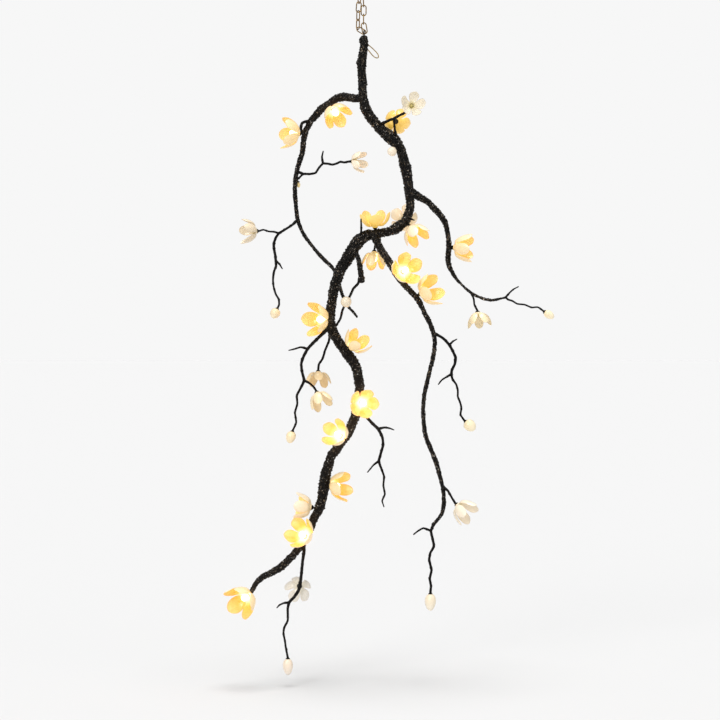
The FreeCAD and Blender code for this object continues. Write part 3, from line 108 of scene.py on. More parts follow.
TWIGS = {
    "left_arm_twigs": [
        ("left_arm", [
            (-139.6, 48, -421.5, 4.2), (-151.4, 40, -420.4, 3.9), (-160.6, 32, -426.1, 3.8), (-163.6, 26, -439.4, 3.7),
            (-159.3, 22, -453.4, 3.7),
        ]),
        ("left_arm", [
            (-176, 86, -546.7, 4), (-157.6, 72, -554.1, 3.2), (-141.6, 64, -555.4, 3.2), (-125.6, 56, -553, 3),
            (-117, 50, -541, 3), (-105.7, 46, -529.9, 3.1), (-92.7, 42, -530.8, 3), (-81.1, 38, -533.3, 2.9),
            (-70.6, 34, -531.1, 2.9), (-59.6, 30, -526.8, 2.9), (-49.6, 26, -528.8, 2.9), (-41.2, 22, -527.6, 3),
            (-33.4, 20, -526.8, 3.4),
        ]),
        ("+1", [
            (-105.7, 46, -529.9, 2.9), (-108.4, 40, -513.2, 2.6), (-105.2, 36, -498.4, 1.8),
        ]),
    ],
    "left_hanging_twig": [
        ("left_arm", [
            (-173.2, 90, -673.6, 4), (-186.8, 78, -687.7, 3.4), (-197.6, 70, -695.6, 3.2), (-211.3, 62, -704.9, 3.2),
            (-222.1, 56, -712.4, 3.4), (-229.5, 52, -723.1, 3.4), (-234.6, 48, -738.1, 3.7), (-234.7, 44, -752.5, 3.7),
            (-231.1, 40, -769, 3.5), (-229.6, 36, -784.4, 3.7), (-228.6, 32, -799.2, 3.4), (-233.7, 28, -814.1, 3.1),
            (-236.1, 24, -835.2, 2.9), (-234.1, 20, -854.9, 2.7), (-228.7, 16, -873.1, 2.7), (-220.5, 12, -887.8, 2.7),
            (-219.9, 10, -900.9, 2.7), (-223.4, 8, -909.8, 2.9),
        ]),
        ("+0", [
            (-222.1, 56, -712.4, 2.9), (-233.5, 48, -708.9, 2.5), (-247.9, 40, -708.2, 2.4), (-261.6, 32, -704.5, 2.4),
            (-272.8, 26, -708.1, 2.6),
        ]),
        ("+0", [
            (-229.6, 36, -784.4, 2.9), (-219.1, 30, -795.1, 2.4), (-211.9, 26, -806.8, 1.6),
        ]),
    ],
    "crossing_twig": [
        ("stub_branch", [
            (-7.8, -80, -827.2, 3.8), (-13.5, -74, -849, 3.5), (-25.3, -62, -861.3, 3.3), (-35.1, -42, -880.7, 3.2),
            (-45.1, -24, -897.7, 3.2), (-54.5, -6, -916.4, 3.1), (-59.4, 14, -935.7, 3.1), (-70.1, 38, -953, 3.1),
            (-86.6, 54, -972.7, 3.2), (-90.9, 58, -996.3, 3.2), (-100.3, 56, -1018.9, 3), (-107.1, 52, -1041.5, 3),
            (-116.5, 48, -1056.2, 3), (-118.5, 44, -1070.4, 3.3),
        ]),
    ],
    "lower_left_twig": [
        ("lower_trunk", [
            (-85.5, 16, -952.6, 5.5), (-98.9, 4, -969.7, 4.9), (-114.2, -8, -985, 4.4), (-129.3, -18, -999.6, 4.1),
            (-144.1, -26, -1016.5, 4.1), (-154, -32, -1034.9, 3.9), (-160.6, -36, -1055.5, 3.6), (-158, -38, -1077.2, 3.6),
            (-153.3, -40, -1097.8, 3.9), (-161.5, -40, -1116.9, 3.4), (-171.6, -40, -1136.5, 3.1), (-170.6, -38, -1157.7, 2.8),
            (-176.6, -36, -1181.5, 2.8), (-173.6, -34, -1206.3, 2.7), (-182.4, -32, -1227.3, 2.8),
        ]),
        ("+0", [
            (-144.1, -26, -1016.5, 3.1), (-161.8, -32, -1012.1, 2.6), (-176.4, -36, -1016.3, 2.3), (-192.5, -40, -1020.4, 1.5),
        ]),
        ("+0", [
            (-153.3, -40, -1097.8, 3.1), (-139.2, -44, -1105, 2.8), (-128.9, -46, -1113.7, 2.7), (-122.1, -48, -1124, 3),
        ]),
    ],
    "trunk_twig": [
        ("lower_trunk", [
            (-10.4, -11, -1159.3, 4.4), (3.1, -24, -1186, 4.1), (21.1, -34, -1206.9, 3.9), (38.1, -42, -1223.1, 4.1),
            (48.8, -48, -1244.5, 3.6), (50.4, -50, -1265, 3.5), (44.2, -50, -1288.2, 3.5), (39.8, -48, -1305.3, 3.6),
            (45.8, -46, -1324.4, 3.1), (53, -44, -1344.9, 2.8), (51.5, -42, -1368.8, 2.6), (55.1, -40, -1391.8, 2.5),
            (48.4, -38, -1408.5, 2.2), (53.1, -36, -1424.4, 1.5),
        ]),
        ("+0", [
            (38.1, -42, -1223.1, 3.4), (54.2, -50, -1218.9, 2.7), (67.3, -54, -1220.9, 2.3), (78.3, -58, -1224.8, 1.5),
        ]),
        ("+0", [
            (39.8, -48, -1305.3, 3.1), (25.4, -54, -1316, 2.4), (10.4, -60, -1333.9, 1.5),
        ]),
    ],
    "end_twig": [
        ("trunk_end", [
            (-157.3, 27, -1519.9, 5.2), (-154.8, 12, -1543, 4.4), (-158.1, 0, -1569.4, 3.9), (-160.4, -8, -1595, 3.9),
            (-163.4, -14, -1620.8, 4.1), (-167.9, -18, -1641.6, 4.3), (-178.7, -20, -1658.4, 3.9), (-192.1, -22, -1672.7, 3.9),
            (-195.7, -24, -1687.9, 3.4), (-195.6, -26, -1704.8, 3.1), (-196.1, -26, -1720.3, 3), (-204.9, -26, -1737.1, 2.8),
            (-206.7, -26, -1752.9, 2.8), (-203.1, -26, -1771, 2.8), (-200.2, -26, -1791.7, 2.8), (-195.6, -26, -1814.9, 3.1),
        ]),
        ("+0", [
            (-192.1, -22, -1672.7, 3.1), (-206.6, -28, -1674, 2.6), (-216.5, -32, -1678.1, 2.2), (-223.7, -34, -1685.1, 1.5),
        ]),
    ],
    "upper_right_twig": [
        ("right_arm", [
            (36.3, -14, -437.5, 4.7), (53.7, -34, -432.2, 3.9), (66, -40, -427.2, 3.6), (79.3, -44, -422.6, 3.7),
            (92.4, -48, -415.3, 3.3), (102.9, -50, -411, 3.2), (112.6, -52, -403.5, 3.3), (120.3, -54.5, -395.6, 3.3),
        ]),
        ("+0", [
            (79.3, -44, -422.6, 3.1), (79.9, -40, -440.9, 2.8), (81.5, -37, -451.6, 2.8), (84.4, -33, -464.1, 3.1),
            (86.8, -28, -479, 3.4),
        ]),
    ],
    "right_branch_twigs": [
        ("right_branch", [
            (371.8, 28, -881.5, 2.7), (379.9, 24, -871.7, 2.4), (391.3, 20, -860.9, 2), (404.8, 16, -853.7, 1.4),
        ]),
        ("+0", [
            (371.8, 28, -881.5, 2.6), (378.3, 24, -887.4, 2.5), (388.5, 21, -890.6, 2.5), (401.6, 18, -898.6, 2.3),
            (420.1, 14, -901, 2.3), (438.2, 10, -908.2, 2.3), (454, 6, -907.8, 2.3), (469.7, 4, -918.7, 2.6),
        ]),
        ("right_branch", [
            (283, 56, -868.5, 2.9), (289.5, 50, -883.4, 2.6), (291.3, 46, -899.3, 2.6), (298.4, 42, -914.6, 2.9),
        ]),
    ],
    "lower_right_twigs": [
        ("lower_right_branch", [
            (179.8, -71, -976.5, 4.1), (198.2, -60, -985.1, 3.6), (209.8, -54, -993.8, 3.6), (221.1, -48, -1006.6, 3.7),
            (230.7, -42, -1022.8, 3.6), (237.6, -38, -1039, 3.9), (236, -34, -1055.5, 3.6), (228.9, -30, -1070.5, 3.5),
            (227.5, -28, -1081.9, 3.6), (230.7, -26, -1094.9, 3.1), (240.1, -24, -1108.3, 2.8), (244.3, -22, -1123.4, 2.7),
            (244.4, -20, -1140, 2.7), (250.2, -18, -1154, 2.7), (254, -16, -1169.6, 2.7), (252, -14, -1186.8, 2.7),
            (262.5, -12, -1202.9, 2.9),
        ]),
        ("+0", [
            (221.1, -48, -1006.6, 2.8), (229.9, -52, -997.6, 2.3), (240.3, -56, -991.5, 1.5),
        ]),
        ("+0", [
            (227.5, -28, -1081.9, 3.1), (214.8, -34, -1088.8, 2.6), (202.7, -40, -1096.3, 2.2), (192.9, -44, -1108.6, 1.5),
        ]),
        ("lower_right_branch", [
            (206, 14, -1373.7, 3.7), (220.1, 4, -1386.1, 3.1), (229.4, -4, -1402.2, 3), (238.2, -10, -1416.8, 3.2),
        ]),
        ("lower_right_branch", [
            (184.3, 5, -1469.9, 3.9), (175.8, 0, -1489.3, 3.6), (179.5, -4, -1509.2, 3.5), (183, -8, -1528.5, 3.5),
            (173.6, -10, -1546.3, 3.4), (170.9, -12, -1565, 3.4), (176.6, -12, -1589.9, 3.4), (172.2, -12, -1612.2, 3.4),
            (175.3, -12, -1631.4, 3.4), (173.8, -12, -1648.8, 3.5),
        ]),
        ("+4", [
            (175.8, 0, -1489.3, 3.1), (155.3, -6, -1482, 2.6), (142.7, -10, -1488.1, 2.3), (129.9, -14, -1497.9, 1.6),
        ]),
    ],
    "spur_twigs": [
        ("middle_trunk", [
            (-7.3, -54, -735.5, 3.9), (-5.8, -74, -714.8, 2.8), (-5.8, -86, -700.2, 2.6), (-6.3, -94, -685.5, 1.8),
        ]),
        ("middle_trunk", [
            (111.4, -17, -676.7, 3.4), (121.4, -32, -680.4, 2.8), (131.4, -42, -684.8, 1.5),
        ]),
    ],
}

FLOWERS = [
    ("flower_f1", (-161.3, 21, -454.6), (-1, -0.28, 0.04), 39, 54, 1),
    ("flower_f2", (-82.7, 4, -387.4), (0.46, -0.58, -0.7), 37, 47, 1),
    ("flower_hh", (83.2, -26, -428.1), (0.12, 0.95, 0.1), 34, 46, 1),
    ("flower_jj", (30.3, -50, -709.6), (-0.06, -0.22, 1), 39, 46, 1),
    ("flower_ll", (111.2, -3, -686.6), (-0.12, 0.95, 0.32), 36, 46, 1),
    ("flower_mm", (119, -24, -696.4), (0.5, -0.4, -0.78), 35, 52, 1),
    ("flower_nn", (28.3, -34, -760.1), (-0.04, -0.16, -1), 30, 48, 1),
    ("flower_k", (97.4, -110, -823.2), (0.34, -0.91, 0.23), 41, 46, 1),
    ("flower_oo", (140, -100, -878.8), (0.84, -0.42, 0.34), 42, 54, 1),
    ("flower_j", (232, 68, -748.5), (1, -0.22, -0.04), 37, 56, 1),
    ("flower_q", (-93.6, 2, -940.1), (-0.84, -0.62, 0.02), 44, 54, 1),
    ("flower_v", (-36, 16, -1020.7), (0.6, -0.42, 0.72), 36, 52, 1),
    ("flower_w", (-6.3, -20, -1155), (0.22, -0.95, -0.06), 38, 44, 1),
    ("flower_y", (-54.2, -40, -1244.3), (-0.5, -0.78, 0.32), 36, 50, 1),
    ("flower_z", (-90.9, -6, -1371.9), (0.92, -0.4, 0.02), 38, 54, 1),
    ("flower_aa", (-129.4, 30, -1431.3), (-1, 0.12, 0.1), 34, 50, 1),
    ("flower_bb", (-147.4, 8, -1507.2), (-0.46, -0.78, 0.36), 40, 52, 1),
    ("flower_cc", (-293.1, -40, -1646.2), (-0.54, -0.74, -0.45), 44, 56, 1),
    ("unlit_gg", (121.7, -57, -393.9), (0.16, -0.96, 0.12), 31, 37, 0),
    ("unlit_l1", (-33.4, 20, -526.8), (0.88, -0.44, -0.06), 28, 40, 0),
    ("unlit_m", (-273.3, 26, -708.1), (-1, -0.3, -0.08), 32, 46, 0),
    ("unlit_pendant", (298.4, 42, -915.2), (0.16, -0.22, -1), 31, 42, 0),
    ("unlit_u", (-118.5, 44, -1070.9), (0.03, -0.35, -1), 32, 40, 0),
    ("unlit_s", (-122.1, -48, -1124.5), (0.42, -0.32, -0.86), 30, 46, 0),
    ("unlit_l", (238.2, -10, -1417.3), (0.72, -0.34, -0.6), 33, 54, 0),
    ("unlit_ff", (-165.2, -4, -1630.8), (-0.14, 0.82, -0.36), 34, 44, 0),
]

BUDS = [
    ("bud_arm", (-174.3, 98.4, -570.6), (0.2, 0.12, -0.96), 5.2, 18),
    ("bud_ii", (81, -38, -507), (-0.55, -0.8, -0.1), 12, 26),
    ("bud_p", (-44.5, -36, -895), (0, -1, -0.05), 14, 28),
    ("bud_right", (468.8, 4, -918.2), (0.84, -0.1, -0.56), 10.4, 32),
    ("bud_left", (-223.4, 8, -909.8), (-0.42, -0.2, -0.9), 13, 30),
    ("bud_mid", (262.5, -12, -1202.9), (0.74, -0.2, -0.66), 15, 36),
    ("bud_t", (-182.4, -32, -1227.3), (-0.3, -0.1, -1), 12.6, 34),
    ("bud_low", (173.8, -12, -1648.8), (0, 0, -1), 14.3, 47),
    ("bud_ee", (-195.6, -26, -1814.9), (0.02, 0, -1), 13, 45),
]

LEAD = [
    (1.1, 20.5, -214), (1.1, 27, -214), (5.8, 33, -215.3), (14.7, 36, -221.4),
    (24.7, 35, -229.9), (33.6, 33, -238.9), (39.8, 34, -247.3), (39.4, 39, -253.6),
    (32.6, 45, -252.9), (24.8, 49, -246.5), (17.9, 49, -238.1), (11.9, 44, -231.1),
    (6.3, 36, -227.9), (2.1, 28, -228.6), (2.1, 20.5, -228.6),
]

FLOOR_Z = -1.8902

# ---------------------------------------------------------------- camera: level, square on to the branch, from 5 m
cam_data = bpy.data.cameras.new("camera")
cam_data.sensor_width = 36.0
cam_data.sensor_fit = "HORIZONTAL"
cam_data.lens = 36.0 * 5.0 / 1.872
cam_data.clip_start = 0.1
cam_data.clip_end = 6000.0
cam = bpy.data.objects.new("camera", cam_data)
scene.collection.objects.link(cam)
cam.location = (-0.00884, -5.0, -1.0452)
cam.rotation_euler = (math.radians(90), 0, 0)
scene.camera = cam


# ---------------------------------------------------------------- noise
_perm = np.random.RandomState(11).permutation(256)
_perm = np.concatenate([_perm, _perm, _perm[:2]])
_g = np.random.RandomState(5).normal(size=(256, 3))
_grad = _g / np.linalg.norm(_g, axis=1)[:, None]


def noise(p):
    """Gradient noise at points p (n, 3), about -1 to 1."""
    p = np.asarray(p, float)
    i = np.floor(p).astype(int)
    f = p - i
    i &= 255
    u = f * f * f * (f * (f * 6 - 15) + 10)
    out = 0
    for dx in (0, 1):
        for dy in (0, 1):
            for dz in (0, 1):
                h = _perm[_perm[_perm[(i[:, 0] + dx) & 255] + ((i[:, 1] + dy) & 255)] + ((i[:, 2] + dz) & 255)]
                g = _grad[h]
                d = f - np.array([dx, dy, dz])
                w = (u[:, 0] if dx else 1 - u[:, 0]) * (u[:, 1] if dy else 1 - u[:, 1]) * (u[:, 2] if dz else 1 - u[:, 2])
                out = out + w * (g * d).sum(1)
    return out * 1.6


def fbm(p, octaves=3, gain=0.5):
    total, amp, p = 0, 1.0, np.asarray(p, float)
    for k in range(octaves):
        total = total + amp * noise(p * (2.03 ** k) + 17.3 * k)
        amp *= gain
    return total


def smooth(x, lo, hi):
    t = np.clip((x - lo) / (hi - lo), 0, 1)
    return t * t * (3 - 2 * t)


# ---------------------------------------------------------------- meshes
def make_mesh(name, verts, faces, attrs=None, materials=(), mat_index=None, flat=False, normals=None):
    """An object in metres from vertices in millimetres."""
    verts = np.asarray(verts, float) * MM
    me = bpy.data.meshes.new(name)
    me.from_pydata(verts.tolist(), [], faces if isinstance(faces, list) else faces.tolist())
    me.update()
    if not flat:
        me.polygons.foreach_set("use_smooth", np.ones(len(me.polygons), bool))
    for k, v in (attrs or {}).items():
        v = np.asarray(v, np.float32)
        if v.ndim == 1:
            a = me.attributes.new(k, "FLOAT", "POINT")
            a.data.foreach_set("value", v)
        else:
            a = me.attributes.new(k, "FLOAT_COLOR", "POINT")
            a.data.foreach_set("color", v.ravel())
    for m in materials:
        me.materials.append(m)
    if mat_index is not None:
        me.polygons.foreach_set("material_index", np.asarray(mat_index, np.int32))
    if normals is not None:
        me.normals_split_custom_set_from_vertices(normals)
    ob = bpy.data.objects.new(name, me)
    scene.collection.objects.link(ob)
    return ob


class Build:
    """Collects surfaces for one object."""

    def __init__(self):
        self.v, self.f, self.m, self.a, self.n = [], [], [], {}, 0

    def add(self, verts, faces, mat=0, **attrs):
        verts = np.asarray(verts, float).reshape(-1, 3)
        faces = [tuple(int(i) + self.n for i in f) for f in faces]
        for k in sorted(set(list(self.a) + list(attrs))):
            value = np.asarray(attrs.get(k, 0.0), float)
            if k not in self.a:
                self.a[k] = [np.zeros((self.n,) + value.shape[1:])] if self.n else []
            if value.ndim == 0:
                value = np.zeros((len(verts),) + (self.a[k][0].shape[1:] if self.a[k] else ())) + float(value)
            self.a[k].append(value)
        self.v.append(verts)
        self.f += faces
        self.m += [mat] * len(faces)
        self.n += len(verts)

    def object(self, name, materials):
        return make_mesh(name, np.concatenate(self.v), self.f, {k: np.concatenate(v) for k, v in self.a.items()}, materials, self.m)


def grid_faces(nu, nv, wrap=True):
    """Quads of nu rings of nv points."""
    out = []
    for i in range(nu - 1):
        a, b = i * nv, (i + 1) * nv
        for j in range(nv if wrap else nv - 1):
            k = (j + 1) % nv
            out.append((a + j, a + k, b + k, b + j))
    return out


def turned(profile, around=32, warp=None):
    """A closed turned shape: rings for (r, z) points, first and last on the axis."""
    profile = [tuple(map(float, p)) for p in profile]
    verts, faces, rings = [], [], []
    ang = np.arange(around) * 2 * math.pi / around
    for k, (r, z) in enumerate(profile):
        if r < 1e-6:
            rings.append([len(verts)])
            verts.append((0, 0, z))
        else:
            rr, zz = (np.full(around, r), np.full(around, z)) if warp is None else warp(r, z, ang, k)
            rings.append(list(range(len(verts), len(verts) + around)))
            verts += list(zip(rr * np.cos(ang), rr * np.sin(ang), zz))
    for a, b in zip(rings, rings[1:]):
        for j in range(around):
            k = (j + 1) % around
            if len(a) == 1 and len(b) == 1:
                continue
            if len(a) == 1:
                faces.append((a[0], b[k], b[j]))
            elif len(b) == 1:
                faces.append((a[j], a[k], b[0]))
            else:
                faces.append((a[j], a[k], b[k], b[j]))
    return np.array(verts, float), faces


def placed(base, axis):
    """The frame of a flower or bud: origin at its base, +Z along its axis."""
    q = Vector((0, 0, 1)).rotation_difference(Vector(axis).normalized())
    m = q.to_matrix()
    return np.array(m, float), np.array(base, float)


def put(verts, frame_):
    m, b = frame_
    return np.asarray(verts, float) @ m.T + b


# ---------------------------------------------------------------- smooth paths
def spline(points, step, soft=1.0):
    """A smooth path through the points (x, y, z, r), evenly sampled; also each point's distance along it."""
    p = np.array(points, float)
    n = len(p)
    ext = np.vstack([2 * p[0] - p[1], p, 2 * p[-1] - p[-2]])
    dense, marks = [], []
    for i in range(n - 1):
        p0, p1, p2, p3 = ext[i], ext[i + 1], ext[i + 2], ext[i + 3]
        d1 = max(np.linalg.norm(p1[:3] - p0[:3]), 1e-6) ** 0.5
        d2 = max(np.linalg.norm(p2[:3] - p1[:3]), 1e-6) ** 0.5
        d3 = max(np.linalg.norm(p3[:3] - p2[:3]), 1e-6) ** 0.5
        m1 = (p2 - p1) + d2 * ((p1 - p0) / d1 - (p2 - p0) / (d1 + d2))
        m2 = (p2 - p1) + d2 * ((p3 - p2) / d3 - (p3 - p1) / (d2 + d3))
        m1, m2 = m1 * soft, m2 * soft
        marks.append(len(dense))
        for t in np.linspace(0, 1, 16, endpoint=False):
            dense.append((2 * t**3 - 3 * t**2 + 1) * p1 + (t**3 - 2 * t**2 + t) * m1 + (-2 * t**3 + 3 * t**2) * p2 + (t**3 - t**2) * m2)
    marks.append(len(dense))
    dense.append(p[-1])
    dense = np.array(dense)
    s = np.concatenate([[0], np.cumsum(np.linalg.norm(np.diff(dense[:, :3], axis=0), axis=1))])
    count = max(3, int(round(s[-1] / step)) + 1)
    at = np.linspace(0, s[-1], count)
    out = np.stack([np.interp(at, s, dense[:, k]) for k in range(4)], 1)
    return out, at, s[marks]


def frames(path):
    """Tangent and two normals at each point, without twist."""
    t = np.gradient(path[:, :3], axis=0)
    t /= np.linalg.norm(t, axis=1)[:, None]
    ref = np.array([0.0, -1.0, 0.0]) if abs(t[0][1]) < 0.9 else np.array([1.0, 0, 0])
    n = [np.cross(t[0], np.cross(ref, t[0]))]
    n[0] /= np.linalg.norm(n[0])
    for i in range(1, len(t)):
        v = n[-1] - t[i] * n[-1].dot(t[i])
        n.append(v / np.linalg.norm(v))
    n = np.array(n)
    return t, n, np.cross(t, n)


def limb_surface(points, seed, step, around, rough=1.0, lumps=(), flare=0.0, soft=1.0, twiggy=False, start_in=0.0):
    """A bark-covered limb: vertices (rings, around, 3), relief values and the distances along it."""
    path, at, marks = spline(points, step, soft)
    t, n, b = frames(path)
    r = path[:, 3]
    length = at[-1]
    ang = np.arange(around) * 2 * math.pi / around
    S, A = np.meshgrid(at, ang, indexing="ij")
    R = np.repeat(r[:, None], around, 1)
    flat = lambda x: x.ravel()
    off = 37.1 * seed
    q = np.stack([flat(np.cos(A) * R), flat(np.sin(A) * R), flat(S)], 1)
    shape = S.shape
    if not twiggy:
        k = np.clip(R / 12.0, 0.25, 1.15) ** 0.85 * rough
        warp = fbm(q / [14, 14, 30] + off, 2).reshape(shape)
        twist = 0.5 * fbm(np.stack([flat(S) / 90, 0 * flat(S), 0 * flat(S) + off], 1), 2).reshape(shape)
        A2 = A + twist + 0.22 * warp
        q2 = np.stack([flat(np.cos(A2) * R), flat(np.sin(A2) * R), flat(S)], 1)
        furrow = fbm(q2 / [4.6, 4.6, 24] + off + 3, 2).reshape(shape)
        grooves = np.exp(-(furrow / 0.13) ** 2)
        plates = fbm(q2 / [7.5, 7.5, 15] + off + 9, 2).reshape(shape)
        knobs = fbm(q / 5.2 + off + 21, 3).reshape(shape)
        grain = fbm(q / [1.9, 1.9, 3.4] + off + 33, 2).reshape(shape)
        sway = fbm(q / [26, 26, 34] + off + 50, 2).reshape(shape)
        cracks = np.abs(noise(np.stack([flat(A2) * 0.9, flat(S) / 9.5, 0 * flat(S) + off + 70], 1))).reshape(shape)
        warts = np.maximum(fbm(q / 3.3 + off + 90, 2).reshape(shape), -0.1)
        d = k * (1.5 * plates + 2.1 * np.maximum(knobs, -0.4) + 2.0 * warts + 0.8 * grain + 1.5 * sway - 2.2 * grooves
                 - 1.4 * np.exp(-(cracks / 0.05) ** 2) * (plates > -0.2) + 0.05)
        relief = 0.42 + 0.26 * plates + 0.45 * knobs + 0.55 * warts + 0.25 * grain - 0.45 * grooves
    else:
        k = np.clip(R / 3.2, 0.5, 1.4) * rough
        grain = fbm(q / [1.5, 1.5, 7] + off, 2).reshape(shape)
        sway = fbm(q / [6, 6, 9] + off + 50, 2).reshape(shape)
        d = k * (0.13 * grain + 0.30 * sway)
        relief = 0.4 + 0.35 * grain + 0.2 * sway
        own = np.random.RandomState(seed * 7 + 3)
        pos = own.uniform(6, 16)
        while pos < length - 3:
            side = own.uniform(0, 2 * math.pi)
            w = np.exp(-(((S - pos) / 2.4) ** 2))
            d = d + k * w * (0.34 + 0.75 * np.maximum(0, np.cos(A - side)) ** 3)
            relief = relief + 0.25 * w
            pos += own.uniform(13, 34)
    if flare:
        d = d + R * flare * np.exp(-S / (1.3 * r[0] + 2))
    radius = R + d
    pos3 = path[:, None, :3] + radius[..., None] * (np.cos(A)[..., None] * n[:, None] + np.sin(A)[..., None] * b[:, None])
    out = (np.cos(A)[..., None] * n[:, None] + np.sin(A)[..., None] * b[:, None])
    for (x, y, z, rad, high) in lumps:
        dist = np.linalg.norm(pos3 - np.array([x, y, z]), axis=2)
        w = np.exp(-((dist / rad) ** 2))
        pos3 = pos3 + out * (high * w)[..., None]
        relief = relief + 0.1 * w
    return pos3, np.clip(relief, 0, 1), at, marks, path, t


def close_ends(pos, relief, path, t, first=True, last=True, dome=0.55):
    """Adds shrinking rings so that the ends are closed and slightly domed."""
    rings, rel = list(pos), list(relief)
    around = pos.shape[1]

    def cap(ring, centre, way, r):
        out = []
        for f, h in ((0.93, 0.16), (0.78, 0.34), (0.52, 0.48), (0.22, dome)):
            out.append(centre + (ring - centre) * f + way * (h * r))
        return out

    if first:
        extra = cap(pos[0], path[0, :3], -t[0], path[0, 3])
        rings = extra[::-1] + rings
        rel = [relief[0]] * len(extra) + rel
    if last:
        extra = cap(pos[-1], path[-1, :3], t[-1], path[-1, 3])
        rings = rings + extra
        rel = rel + [relief[-1]] * len(extra)
    v = np.array(rings)
    faces = grid_faces(len(rings), around)
    verts = v.reshape(-1, 3)
    rel = np.array(rel).ravel()
    if first:
        faces += [(len(verts), (j + 1) % around, j) for j in range(around)]
        verts = np.vstack([verts, v[0].mean(0)])
        rel = np.append(rel, rel[0])
    if last:
        base = (len(rings) - 1) * around
        faces += [(len(verts), base + j, base + (j + 1) % around) for j in range(around)]
        verts = np.vstack([verts, v[-1].mean(0)])
        rel = np.append(rel, rel[base])
    return verts, faces, rel


# ---------------------------------------------------------------- materials
class Mat:
    def __init__(self, name):
        self.m = bpy.data.materials.new(name)
        self.m.use_nodes = True
        self.t = self.m.node_tree
        self.t.nodes.clear()
        self.out = self.t.nodes.new("ShaderNodeOutputMaterial")
        self.p = self.t.nodes.new("ShaderNodeBsdfPrincipled")
        self.t.links.new(self.p.outputs[0], self.out.inputs[0])
        self.co = self.t.nodes.new("ShaderNodeTexCoord").outputs["Object"]

    def link(self, a, b):
        self.t.links.new(a, b)

    def set(self, **kw):
        names = {"rough": "Roughness", "metal": "Metallic", "spec": "Specular IOR Level", "coat": "Coat Weight", "coat_rough": "Coat Roughness",
                 "sss": "Subsurface Weight", "sss_scale": "Subsurface Scale", "emit": "Emission Strength", "ior": "IOR", "sheen": "Sheen Weight"}
        for k, v in kw.items():
            self.p.inputs[names[k]].default_value = v

    def noise(self, scale, detail=4.0, rough=0.55, distort=0.0, vec=None, stretch=None):
        n = self.t.nodes.new("ShaderNodeTexNoise")
        n.inputs["Scale"].default_value = scale
        n.inputs["Detail"].default_value = detail
        n.inputs["Roughness"].default_value = rough
        n.inputs["Distortion"].default_value = distort
        src = vec or self.co
        if stretch is not None:
            mp = self.t.nodes.new("ShaderNodeMapping")
            mp.inputs["Scale"].default_value = stretch
            self.link(src, mp.inputs[0])
            src = mp.outputs[0]
        self.link(src, n.inputs["Vector"])
        return n.outputs[0]

    def attr(self, name, color=False):
        n = self.t.nodes.new("ShaderNodeAttribute")
        n.attribute_name = name
        return n.outputs["Color"] if color else n.outputs["Fac"]

    def ramp(self, src, stops, interp="LINEAR"):
        n = self.t.nodes.new("ShaderNodeValToRGB")
        n.color_ramp.interpolation = interp
        e = n.color_ramp.elements
        while len(e) < len(stops):
            e.new(0.5)
        for k, (pos, col) in enumerate(stops):
            e[k].position = pos
            e[k].color = (*col, 1) if len(col) == 3 else col
        self.link(src, n.inputs[0])
        return n.outputs[0]

    def mix(self, fac, a, b, blend="MIX"):
        n = self.t.nodes.new("ShaderNodeMix")
        n.data_type = "RGBA"
        n.blend_type = blend
        for sock, v in ((n.inputs[0], fac), (n.inputs[6], a), (n.inputs[7], b)):
            if isinstance(v, (int, float)):
                sock.default_value = v
            elif isinstance(v, tuple):
                sock.default_value = (*v, 1)
            else:
                self.link(v, sock)
        return n.outputs[2]

    def math(self, op, a, b=0.0, clamp=False):
        n = self.t.nodes.new("ShaderNodeMath")
        n.operation = op
        n.use_clamp = clamp
        for sock, v in ((n.inputs[0], a), (n.inputs[1], b)):
            if isinstance(v, (int, float)):
                sock.default_value = v
            else:
                self.link(v, sock)
        return n.outputs[0]

    def span(self, src, a, b, lo=0.0, hi=1.0):
        n = self.t.nodes.new("ShaderNodeMapRange")
        n.inputs[1].default_value, n.inputs[2].default_value = a, b
        n.inputs[3].default_value, n.inputs[4].default_value = lo, hi
        self.link(src, n.inputs[0])
        return n.outputs[0]

    def bump(self, height, strength=0.3, distance=0.0005):
        n = self.t.nodes.new("ShaderNodeBump")
        n.inputs["Strength"].default_value = strength
        n.inputs["Distance"].default_value = distance
        self.link(height, n.inputs["Height"])
        self.link(n.outputs[0], self.p.inputs["Normal"])

    def base(self, src):
        self.link(src, self.p.inputs["Base Color"])

    def rough(self, src):
        self.link(src, self.p.inputs["Roughness"])


def bark_material():
    m = Mat("bark_bronze")
    relief = m.attr("relief")
    body = m.ramp(relief, [(0.2, (0.0013, 0.0012, 0.0011)), (0.52, (0.004, 0.0034, 0.003)), (0.74, (0.018, 0.0145, 0.011)), (0.92, (0.085, 0.064, 0.043))])
    fleck = m.span(m.noise(230, 3.0, 0.6), 0.60, 0.67)
    patch = m.span(m.noise(30, 2.0), 0.50, 0.62)
    worn = m.math("MULTIPLY", fleck, m.math("ADD", m.math("MULTIPLY", patch, 0.7), 0.35), clamp=True)
    worn = m.math("MULTIPLY", worn, m.span(relief, 0.36, 0.62), clamp=True)
    smear = m.math("MULTIPLY", m.span(m.noise(62, 3.0, 0.6), 0.66, 0.74), m.span(relief, 0.40, 0.60), clamp=True)
    worn = m.math("MAXIMUM", worn, m.math("MULTIPLY", smear, 0.55), clamp=True)
    tan = m.mix(worn, body, (0.55, 0.41, 0.26))
    # painted highlight: grey-white glints on the raised bark are mixed into the base colour
    painted_glint = m.math("MULTIPLY", m.span(m.noise(300, 2.0, 0.5, 0.3, stretch=(1, 1, 0.6)), 0.635, 0.68), m.span(relief, 0.40, 0.56), clamp=True)
    m.base(m.mix(m.math("MULTIPLY", painted_glint, 0.8), tan, (0.62, 0.59, 0.54)))
    m.set(metal=0.4, spec=0.22)
    m.rough(m.span(m.noise(420, 4.0), 0.35, 0.65, 0.10, 0.34))
    m.bump(m.noise(430, 5.0, 0.66), 1.0, 0.0014)
    return m.m


